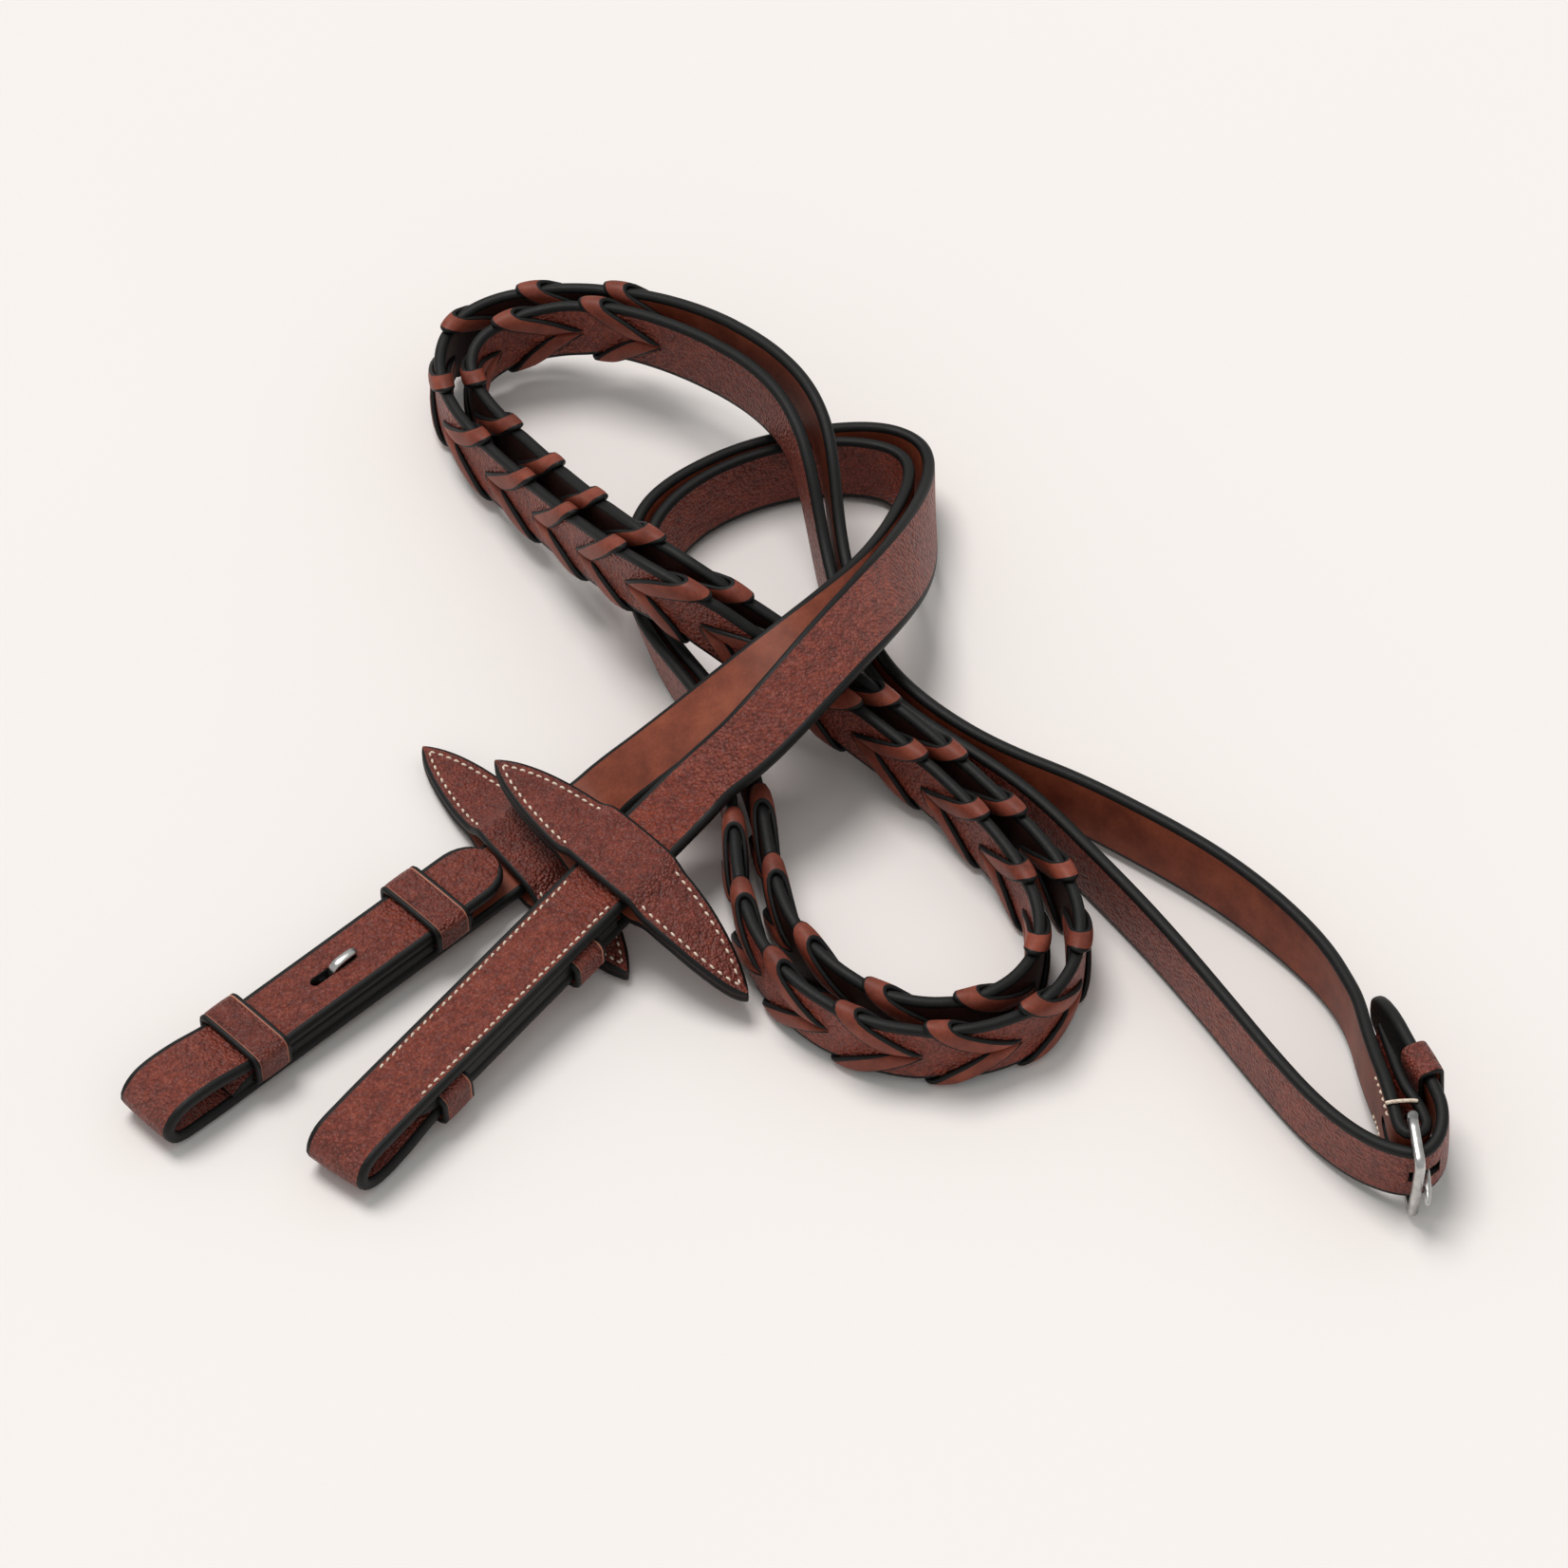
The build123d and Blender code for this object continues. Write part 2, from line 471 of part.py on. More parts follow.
# ---------------------------------------------------------------- the two strap solids
a_strap = strap(A, "turned")
b_strap = strap(B, "point")


def billet_station(rein, loop_end, station_main):
    """Station on the return layer that lies over a station of the main layer."""
    p = rein.point(station_main)
    best = min(np.arange(1.0, loop_end - 8.0, 0.5), key=lambda s: float(np.linalg.norm(rein.point(s) - p)))
    return float(best)


for rein, stud in ((A, A_STUD), (B, B_STUD)):
    c, t, d, n = rein.at(stud)
    cut = oriented_box(c + n * 6.25 - t * 1.0, t, d, n, STUD_SLOT_L, STUD_SLOT_W, 4.0)
    if rein is A:
        a_strap = a_strap - cut
    else:
        cut = oriented_box(c - n * 6.25 - t * 1.0, t, d, n, STUD_SLOT_L, STUD_SLOT_W, 4.0)
        b_strap = b_strap - cut

# ---------------------------------------------------------------- buckle position
HINGE = np.array([131.80, -116.74, 12.44])
TO_FRONT = np.array([132.73, -127.79, 12.44]) - HINGE
TO_FRONT[2] = 0.0
TO_FRONT /= np.linalg.norm(TO_FRONT)
_p = math.radians(PITCH_DEG)
FX = TO_FRONT * math.cos(_p) - np.array([0, 0, 1.0]) * math.sin(_p)
FZ = TO_FRONT * math.sin(_p) + np.array([0, 0, 1.0]) * math.cos(_p)
FY = np.cross(FZ, FX)      # points to the side on which the tongue lies
frame_plane = Plane(origin=tuple(HINGE), x_dir=tuple(FX), z_dir=tuple(-FY))

# passage for the tongue's eye in the turn of rein A, and the hole in rein B
a_strap = a_strap - oriented_box(HINGE + FX * 0.0, FX, FY, FZ, 13.0, 13.0, TONGUE_H + 0.9)
b_strap = b_strap - oriented_box(HINGE + FX * 7.4 + FY * 2.2, FX, FY, FZ, 7.0, 6.0, TONGUE_H + 0.9)
save("rein_a_strap", a_strap.solids())
save("rein_b_strap", b_strap.solids())


# ---------------------------------------------------------------- billet linings, keepers, hook studs
def lining(rein, side, s0, s1, keepers):
    st = [s0]
    for k in keepers:
        st += [k - KEEPER_W / 2 - 1.2, k - KEEPER_W / 2 - 0.5, k + KEEPER_W / 2 + 0.5, k + KEEPER_W / 2 + 1.2]
    st = [s for s in st if s < s1 - 0.4] + [s1]
    st = sorted(st)
    mids = []
    for a, b in zip(st[:-1], st[1:]):
        m = int((b - a) // 9)
        mids += [a + (b - a) * (i + 1) / (m + 1) for i in range(m)]
    rings = []
    for s in sorted(st + mids):
        under = any(abs(s - k) <= KEEPER_W / 2 + 0.6 for k in keepers)
        near = LINING_THIN if under else LINING_NEAR
        w = LINING_W / 2
        rings.append(box_ring(rein, s, -w, w, side * near, side * LINING_FAR))
    return chain(rings)


def keeper(rein, side, s, outside):
    """Leather band round the return layer, its ends caught under the lining."""
    c, t, d, n = rein.at(s)
    n = n * side
    i, o = KEEPER_IN, KEEPER_IN + KEEPER_T
    lo0, lo1 = STRAP_T / 2 + 0.06, STRAP_T / 2 + 0.9
    hi0, hi1 = outside - KEEPER_T, outside
    ch = 0.9
    outer = [(-o + ch, lo0), (o - ch, lo0), (o, lo0 + ch), (o, hi1 - ch), (o - ch, hi1), (-o + ch, hi1), (-o, hi1 - ch), (-o, lo0 + ch)]
    inner = [(-i, lo1), (i, lo1), (i, hi0), (-i, hi0)]

    def prism(poly, half):
        return chain([[c + t * x + d * a + n * b for a, b in poly] for x in (-half, half)])

    return prism(outer, KEEPER_W / 2) - prism(inner, KEEPER_W / 2 + 2)


def stud(rein, side, s):
    c, t, d, n = rein.at(s)
    n = n * side
    base = oriented_box(c + n * (LINING_FAR + 0.15), t, d, n, 9.0, 7.0, 0.24)
    post = Plane(origin=tuple(c + n * (LINING_FAR + 0.1)), x_dir=tuple(t), z_dir=tuple(n)) * Cylinder(
        STUD_R, 4.0, align=(Align.CENTER, Align.CENTER, Align.MIN))
    head = Plane(origin=tuple(c + n * (LINING_FAR + 3.7) + t * 1.6), x_dir=tuple(t), z_dir=tuple(n)) * Box(
        7.6, 3.0, 1.3, align=(Align.CENTER, Align.CENTER, Align.MIN))
    return base + post + head


for nm, rein, side, lin, kps, sd in (("a", A, 1, A_LINING, A_KEEPERS, A_STUD), ("b", B, -1, B_LINING, B_KEEPERS, B_STUD)):
    save(f"rein_{nm}_billet_lining", [lining(rein, side, lin[0], lin[1], kps)])
    save(f"rein_{nm}_lower_keeper", keeper(rein, side, kps[0], KEEPER_LOWER).solids())
    save(f"rein_{nm}_upper_keeper", keeper(rein, side, kps[1], KEEPER_OUTER).solids())
    save(f"rein_{nm}_hook_stud", stud(rein, side, sd).solids())


# ---------------------------------------------------------------- rein stops
def stop_half(u):
    return STOP_W / 2 * (1 - (abs(u) / (STOP_LEN / 2)) ** 2.4) ** 0.7


def stop_lift(u):
    """Distance of a layer's inner face from the middle plane of the stop."""
    au = abs(u)
    room = STRAP_T / 2 + STOP_GAP
    return float(np.interp(au, [0, STOP_CH, STOP_CH + 3.6, 60], [room, room, 0.02, 0.02]))


def stop_layer(c, t, axis, n, side, droop, shift, skew, bow):
    us = [-STOP_LEN / 2 + 0.3, -39, -37.5, -35, -30, -24, -18, -STOP_CH - 3.6, -STOP_CH - 1.8, -STOP_CH, 0, STOP_CH, STOP_CH + 1.8,
          STOP_CH + 3.6, 18, 24, 30, 35, 37.5, 39, STOP_LEN / 2 - 0.3]
    rings = []
    for u in us:
        v = max(stop_half(u), 0.8)
        base = c + axis * u + t * (shift + skew * u + bow * u * u) + n * droop(u)
        lo = stop_lift(u) * side
        hi = (stop_lift(u) + STOP_T) * side
        rings.append([base - t * v + n * lo, base + t * v + n * lo, base + t * v + n * hi, base - t * v + n * hi])
    return chain(rings)


def stop_frame(rein, s, skew):
    c, t, d, n = rein.at(s)
    axis = -d * math.cos(skew) + t * math.sin(skew)
    return c, np.cross(n, axis), axis, n


A_FRAME = stop_frame(A, A_STOP, 0.0)
B_FRAME = stop_frame(B, B_STOP, 0.0)
a_droop = lambda u: float(np.interp(abs(u), [0, 10, 20, 40], [0, 0, -1.8, -2.2]))
b_droop = lambda u: float(np.interp(u, [-40, -20, 10, 16, 22, 30, 38], [0.5, 0.2, 0, -0.9, -2.5, -5.6, -9.2]))
for nm, fr, droop, lie in (("a", A_FRAME, a_droop, STOP_A_LIE), ("b", B_FRAME, b_droop, STOP_B_LIE)):
    save(f"rein_{nm}_stop_top", [stop_layer(*fr, 1, droop, *lie)])
    save(f"rein_{nm}_stop_under", [stop_layer(*fr, -1, droop, *lie)])


# ---------------------------------------------------------------- V lacing
def lace_arm(rein, s_k, side, close=False):
    """One arm of a V: slot, front face, round the edge, back face, slot."""
    rings = []

    def ring(sc, ai, ao, ni, no, h=LACE_HALF):
        near = [rein.point(sc + x, side * ai, ni) for x in (-h, -h / 3, h / 3, h)]
        far = [rein.point(sc + x, side * ao, no) for x in (h, h / 3, -h / 3, -h)]
        return near + far

    steps = [(0.3, 0.12), (3.3, 2.1), (6.5, 4.1), (9.8, 6.1)]
    for back, a in steps:
        rings.append(ring(s_k - back * LACE_ARM / 13.0, a, a, LACE_N0, LACE_N1))
    a0, a1, n0, n1 = (8.1, 8.45, 1.62, 2.1) if close else (LACE_A0, LACE_A1, LACE_N0, LACE_N1)
    rings.append(ring(s_k - LACE_ARM, a0, a1, n0, n1))
    rings.append(ring(s_k - LACE_ARM, a0, a1, -n0, -n1))
    for back, a in reversed(steps):
        rings.append(ring(s_k - back * LACE_ARM / 13.0, a, a, -LACE_N0, -LACE_N1))
    return chain(rings)


for nm, rein, (s0, s1) in (("a", A, A_LACE), ("b", B, B_LACE)):
    count = int(round((s1 - s0) / LACE_PITCH))
    arms = []
    for k in range(count):
        s_k = s0 + (k + 1) * (s1 - s0) / count
        # the first arm of rein B lies tight to its strap, as the same rein passes beside it
        arms += [lace_arm(rein, s_k, 1, rein is B and k == 0), lace_arm(rein, s_k, -1)]
    save(f"rein_{nm}_lace", arms)

# ---------------------------------------------------------------- centre buckle
half_h = FRAME_H / 2
outer = frame_plane * (Pos(FRAME_L / 2, 0, 0) * Box(FRAME_L + FRAME_T, FRAME_H, FRAME_T))
outer = fillet(outer.edges().filter_by(Axis(tuple(HINGE), tuple(FY))), 2.4)
inner = frame_plane * (Pos(FRAME_L / 2, 0, 0) * Box(FRAME_L - FRAME_T, FRAME_H - 2 * FRAME_T, FRAME_T * 2))
gap = frame_plane * (Pos(-0.5, 0, 0) * Box(FRAME_T + 1.2, FRAME_H - 2 * FRAME_T, FRAME_T * 2))
bar = Plane(origin=tuple(HINGE), x_dir=tuple(FX), z_dir=tuple(FZ)) * Cylinder(HINGE_R, FRAME_H - 2 * FRAME_T + 0.6)
frame = outer - inner - gap + bar
save("buckle_frame", frame.solids())

eye_plane = Plane(origin=tuple(HINGE), x_dir=tuple(FX), z_dir=tuple(FZ))
# the plane's y axis points to the tongue's side
eye = eye_plane * (Cylinder(2.55, TONGUE_H) - Cylinder(HINGE_R + 0.3, TONGUE_H * 2))
pin = eye_plane * (Pos(1.3, 1.45, 0) * Box(FRAME_L + 3.6, TONGUE_T, TONGUE_H, align=(Align.MIN, Align.MIN, Align.CENTER)))
pin = fillet(pin.edges().filter_by(Axis(tuple(HINGE), tuple(FY))).sort_by(Axis(tuple(HINGE), tuple(FX)))[-2:], 0.9)
tongue = eye + pin
save("buckle_tongue", tongue.solids())


def ring_keeper(rein, s, half_len):
    c, t, d, n = rein.at(s)
    i, o = 8.35, 9.65
    ni, no, nb = 1.85, 3.1, 2.85
    outer_ring = chain([[c + t * x + d * a + n * b for a, b in
                         ((-o + 1, -nb), (o - 1, -nb), (o, -nb + 1), (o, no - 1), (o - 1, no), (-o + 1, no), (-o, no - 1), (-o, -nb + 1))]
                        for x in (-half_len, half_len)])
    inner_ring = chain([[c + t * x + d * a + n * b for a, b in ((-i, -ni), (i, -ni), (i, ni), (-i, ni))]
                        for x in (-half_len - 2, half_len + 2)])
    return outer_ring - inner_ring


save("buckle_keeper", ring_keeper(B, B.length - 25.0, 4.6).solids())
print("rein A", round(A.length, 1), "rein B", round(B.length, 1))
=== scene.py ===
"""Looks for the pair of laced leather reins. Lengths in the code are millimetres unless a name ends in _m."""
import bpy
import math
import numpy as np
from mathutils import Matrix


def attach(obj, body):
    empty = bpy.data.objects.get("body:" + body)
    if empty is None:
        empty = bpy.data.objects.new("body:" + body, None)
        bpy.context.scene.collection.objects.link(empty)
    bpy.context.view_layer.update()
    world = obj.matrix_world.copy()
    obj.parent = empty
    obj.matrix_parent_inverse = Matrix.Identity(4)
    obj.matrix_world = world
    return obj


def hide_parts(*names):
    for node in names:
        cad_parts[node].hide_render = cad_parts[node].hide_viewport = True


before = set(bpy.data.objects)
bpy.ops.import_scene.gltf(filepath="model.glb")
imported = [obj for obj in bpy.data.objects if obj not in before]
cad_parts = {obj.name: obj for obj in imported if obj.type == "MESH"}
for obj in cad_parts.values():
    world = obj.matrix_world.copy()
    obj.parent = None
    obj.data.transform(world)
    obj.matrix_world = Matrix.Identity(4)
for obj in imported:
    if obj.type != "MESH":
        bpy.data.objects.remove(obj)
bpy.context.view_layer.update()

# ------------------------------------------------------------------ driving sizes, as in the part
HALF_W, HALF_T = 8.0, 1.5
A_LOOP_END, B_LOOP_END = 101.5, 100.5
A_LINING, B_LINING = (122.5, 190.0), (122.5, 186.5)
A_KEEPERS, B_KEEPERS = (131.5, 183.0), (130.5, 175.0)
A_STUD, B_STUD = 157.5, 153.5
A_STOP, B_STOP = 216.0, 200.0
STOP_LEN, STOP_W, STOP_T, STOP_GAP, STOP_CH = 80.0, 16.6, 2.05, 0.8, 8.75
STOP_A_LIE, STOP_B_LIE = (-2.8, -0.14, -0.0012), (-2.4, -0.15, -0.0006)
A_LACE, B_LACE = (523.0, 943.0), (524.0, 944.0)
LACE_COUNT = 20
KEEPER_W = 9.6
HINGE = np.array([131.80, -116.74, 12.44])
TO_FRONT = np.array([132.73, -127.79, 12.44]) - HINGE
TO_FRONT[2] = 0.0
TO_FRONT /= np.linalg.norm(TO_FRONT)
_p = math.radians(7.0)
UP = np.array([0.0, 0.0, 1.0])
FX = TO_FRONT * math.cos(_p) - UP * math.sin(_p)
FZ = TO_FRONT * math.sin(_p) + UP * math.cos(_p)
FY = np.cross(FZ, FX)
FRAME_L, FRAME_H, FRAME_T, HINGE_R = 12.0, 21.4, 2.2, 1.1

# control points of the two reins in metres: place, then direction across the width
ROUTE_A = [
    (-0.06298, -0.03541, 0.01065, -0.690, 0.724, 0.000),
    (-0.07312, -0.04506, 0.01019, -0.690, 0.724, 0.000),
    (-0.08322, -0.05467, 0.00973, -0.690, 0.724, 0.000),
    (-0.09358, -0.06454, 0.00926, -0.690, 0.724, 0.000),
    (-0.10239, -0.07292, 0.00886, -0.690, 0.724, 0.000),
    (-0.10866, -0.07890, 0.00859, -0.690, 0.724, 0.000),
    (-0.11433, -0.08429, 0.00823, -0.690, 0.724, 0.000),
    (-0.12037, -0.09005, 0.00936, -0.690, 0.724, 0.000),
    (-0.12476, -0.09423, 0.01046, -0.690, 0.724, 0.000),
    (-0.13003, -0.09924, 0.01063, -0.690, 0.724, 0.000),
    (-0.13315, -0.10221, 0.00950, -0.690, 0.724, -0.000),
    (-0.13502, -0.10399, 0.00644, -0.690, 0.724, 0.000),
    (-0.13446, -0.10346, 0.00371, -0.690, 0.724, -0.000),
    (-0.13280, -0.10188, 0.00159, -0.690, 0.724, 0.000),
    (-0.12695, -0.09631, 0.00164, -0.690, 0.724, -0.000),
    (-0.12475, -0.09422, 0.00157, -0.690, 0.724, 0.000),
    (-0.11483, -0.08477, 0.00205, -0.690, 0.724, -0.000),
    (-0.10616, -0.07651, 0.00244, -0.690, 0.724, 0.000),
    (-0.09719, -0.06796, 0.00284, -0.690, 0.724, -0.000),
    (-0.08819, -0.05939, 0.00324, -0.690, 0.724, 0.000),
    (-0.07912, -0.05074, 0.00364, -0.690, 0.724, -0.000),
    (-0.06998, -0.04203, 0.00404, -0.690, 0.723, 0.000),
    (-0.06076, -0.03322, 0.00443, -0.690, 0.724, -0.000),
    (-0.05154, -0.02447, 0.00492, -0.694, 0.720, 0.000),
    (-0.04167, -0.01520, 0.00489, -0.675, 0.743, -0.000),
    (-0.03706, -0.01249, 0.00861, -0.469, 0.888, 0.001),
    (-0.03031, -0.01028, 0.01367, -0.428, 0.902, -0.003),
    (-0.02177, -0.00666, 0.01933, -0.439, 0.899, 0.003),
    (-0.01211, -0.00218, 0.02543, -0.511, 0.863, 0.018),
    (-0.00331, 0.00242, 0.03037, -0.599, 0.807, 0.052),
    (0.00506, 0.00867, 0.03262, -0.686, 0.718, 0.153),
    (0.01360, 0.01873, 0.03086, -0.716, 0.616, 0.350),
    (0.02084, 0.03261, 0.02499, -0.624, 0.525, 0.595),
    (0.02543, 0.04806, 0.01759, -0.412, 0.414, 0.811),
    (0.02791, 0.06225, 0.01231, -0.159, 0.271, 0.948),
    (0.02903, 0.07323, 0.00996, 0.025, 0.161, 0.998),
    (0.02838, 0.08039, 0.00904, 0.088, 0.127, 0.996),
    (0.02528, 0.08444, 0.00859, 0.077, 0.146, 0.987),
    (0.01998, 0.08650, 0.00840, 0.044, 0.182, 0.982),
    (0.01347, 0.08721, 0.00828, 0.005, 0.207, 0.978),
    (0.00640, 0.08673, 0.00816, -0.035, 0.209, 0.978),
    (-0.00146, 0.08480, 0.00817, -0.069, 0.198, 0.978),
    (-0.00994, 0.08104, 0.00822, -0.101, 0.181, 0.979),
    (-0.01762, 0.07572, 0.00825, -0.136, 0.163, 0.978),
    (-0.02327, 0.06974, 0.00829, -0.176, 0.137, 0.976),
    (-0.02687, 0.06360, 0.00830, -0.227, 0.091, 0.969),
    (-0.02870, 0.05683, 0.00823, -0.281, 0.033, 0.959),
    (-0.02903, 0.04880, 0.00816, -0.307, -0.015, 0.953),
    (-0.02806, 0.03984, 0.00818, -0.277, -0.045, 0.960),
    (-0.02561, 0.03082, 0.00830, -0.207, -0.059, 0.977),
    (-0.02149, 0.02205, 0.00850, -0.127, -0.054, 0.991),
    (-0.01619, 0.01253, 0.00881, -0.055, -0.028, 0.998),
    (-0.01087, 0.00110, 0.00916, -0.007, -0.005, 1.000),
    (-0.00681, -0.01184, 0.00937, 0.007, 0.003, 1.000),
    (-0.00441, -0.02495, 0.00940, 0.003, 0.001, 1.000),
    (-0.00288, -0.03740, 0.00939, -0.001, -0.000, 1.000),
    (-0.00110, -0.04852, 0.00938, -0.000, -0.000, 1.000),
    (0.00183, -0.05788, 0.00938, 0.000, 0.000, 1.000),
    (0.00651, -0.06606, 0.00939, -0.000, -0.000, 1.000),
    (0.01311, -0.07366, 0.00939, 0.000, 0.000, 1.000),
    (0.02159, -0.07975, 0.00939, -0.000, -0.000, 1.000),
    (0.03164, -0.08250, 0.00939, 0.000, -0.000, 1.000),
    (0.04207, -0.08079, 0.00939, -0.000, 0.001, 1.000),
    (0.05071, -0.07465, 0.00939, -0.001, 0.001, 1.000),
    (0.05542, -0.06518, 0.00937, -0.000, -0.002, 1.000),
    (0.05548, -0.05424, 0.00941, 0.003, -0.012, 1.000),
    (0.05197, -0.04350, 0.00958, 0.007, -0.020, 1.000),
    (0.04633, -0.03323, 0.00984, 0.013, -0.026, 1.000),
    (0.03897, -0.02265, 0.01026, 0.027, -0.040, 0.999),
    (0.02975, -0.01188, 0.01118, 0.061, -0.069, 0.997),
    (0.01877, -0.00193, 0.01304, 0.125, -0.104, 0.987),
    (0.00722, 0.00640, 0.01609, 0.227, -0.136, 0.962),
    (-0.00313, 0.01258, 0.02032, 0.327, -0.157, 0.936),
    (-0.01198, 0.01687, 0.02528, 0.323, -0.157, 0.941),
    (-0.02049, 0.02078, 0.02922, 0.173, -0.098, 0.976),
    (-0.02884, 0.02625, 0.03017, -0.031, 0.048, 0.990),
    (-0.03655, 0.03477, 0.02754, -0.158, 0.208, 0.969),
    (-0.04415, 0.04661, 0.02232, -0.177, 0.268, 0.954),
    (-0.05221, 0.05998, 0.01707, -0.140, 0.220, 0.966),
    (-0.06064, 0.07298, 0.01334, -0.097, 0.147, 0.985),
    (-0.06903, 0.08517, 0.01109, -0.053, 0.087, 0.996),
    (-0.07610, 0.09697, 0.01002, -0.008, 0.027, 1.001),
    (-0.07995, 0.10848, 0.00996, 0.012, -0.046, 1.000),
    (-0.07971, 0.11861, 0.01061, -0.033, -0.115, 0.993),
    (-0.07582, 0.12572, 0.01180, -0.135, -0.132, 0.980),
    (-0.06937, 0.12934, 0.01346, -0.218, -0.083, 0.972),
    (-0.06177, 0.13048, 0.01526, -0.222, -0.018, 0.976),
    (-0.05413, 0.13031, 0.01675, -0.178, 0.019, 0.984),
    (-0.04619, 0.12909, 0.01805, -0.152, 0.039, 0.988),
    (-0.03707, 0.12634, 0.01964, -0.150, 0.058, 0.987),
    (-0.02705, 0.12166, 0.02162, -0.143, 0.080, 0.987),
    (-0.01740, 0.11515, 0.02372, -0.120, 0.094, 0.989),
    (-0.00885, 0.10750, 0.02558, -0.080, 0.083, 0.994),
    (-0.00123, 0.09909, 0.02682, -0.028, 0.047, 1.002),
    (0.00511, 0.08989, 0.02716, 0.020, -0.029, 1.003),
    (0.00919, 0.08070, 0.02614, 0.052, -0.181, 0.976),
    (0.01101, 0.07249, 0.02338, 0.065, -0.361, 0.928),
    (0.01187, 0.06478, 0.01920, 0.062, -0.434, 0.906),
    (0.01284, 0.05647, 0.01502, 0.049, -0.350, 0.934),
    (0.01430, 0.04704, 0.01213, 0.034, -0.201, 0.977),
    (0.01641, 0.03690, 0.01066, 0.022, -0.089, 0.998),
    (0.01892, 0.02753, 0.01002, 0.018, -0.045, 1.001),
    (0.02189, 0.01975, 0.00958, 0.023, -0.042, 0.999),
    (0.02660, 0.01236, 0.00908, 0.023, -0.037, 0.999),
    (0.03406, 0.00414, 0.00868, 0.017, -0.013, 1.000),
    (0.04336, -0.00399, 0.00855, 0.019, 0.025, 1.000),
    (0.05271, -0.01036, 0.00859, 0.035, 0.067, 0.997),
    (0.06107, -0.01511, 0.00864, 0.059, 0.100, 0.993),
    (0.06873, -0.01994, 0.00866, 0.079, 0.119, 0.990),
    (0.07708, -0.02588, 0.00871, 0.091, 0.134, 0.987),
    (0.08660, -0.03303, 0.00885, 0.108, 0.138, 0.985),
    (0.09638, -0.04129, 0.00887, 0.135, 0.110, 0.985),
    (0.10554, -0.05032, 0.00843, 0.135, 0.068, 0.989),
    (0.11323, -0.05947, 0.00803, 0.068, 0.062, 0.993),
    (0.11844, -0.06790, 0.00841, -0.019, 0.083, 0.995),
    (0.12130, -0.07537, 0.00927, -0.049, 0.099, 0.995),
    (0.12322, -0.08200, 0.00995, -0.019, 0.109, 0.994),
    (0.12424, -0.09060, 0.01091, -0.017, 0.112, 0.994),
    (0.12595, -0.10014, 0.01184, -0.018, 0.095, 0.994),
    (0.12758, -0.10730, 0.01267, -0.034, 0.148, 0.995),
    (0.12822, -0.11371, 0.01267, 0.053, -0.160, 0.992),
    (0.12869, -0.11717, 0.01261, 0.038, -0.107, 0.993),
    (0.12964, -0.11909, 0.01256, 0.041, -0.116, 0.993),
    (0.13098, -0.11974, 0.01251, 0.040, -0.115, 0.993),
    (0.13248, -0.11976, 0.01247, 0.040, -0.115, 0.993),
    (0.13383, -0.11906, 0.01242, 0.040, -0.115, 0.993),
    (0.13478, -0.11786, 0.01238, 0.040, -0.115, 0.993),
    (0.13484, -0.11566, 0.01233, 0.040, -0.115, 0.993),
    (0.13392, -0.11223, 0.01229, 0.040, -0.115, 0.993),
    (0.13103, -0.10630, 0.01218, 0.040, -0.115, 0.993),
    (0.12940, -0.09913, 0.01124, 0.040, -0.115, 0.993),
    (0.12783, -0.08976, 0.01018, 0.040, -0.115, 0.993),
]
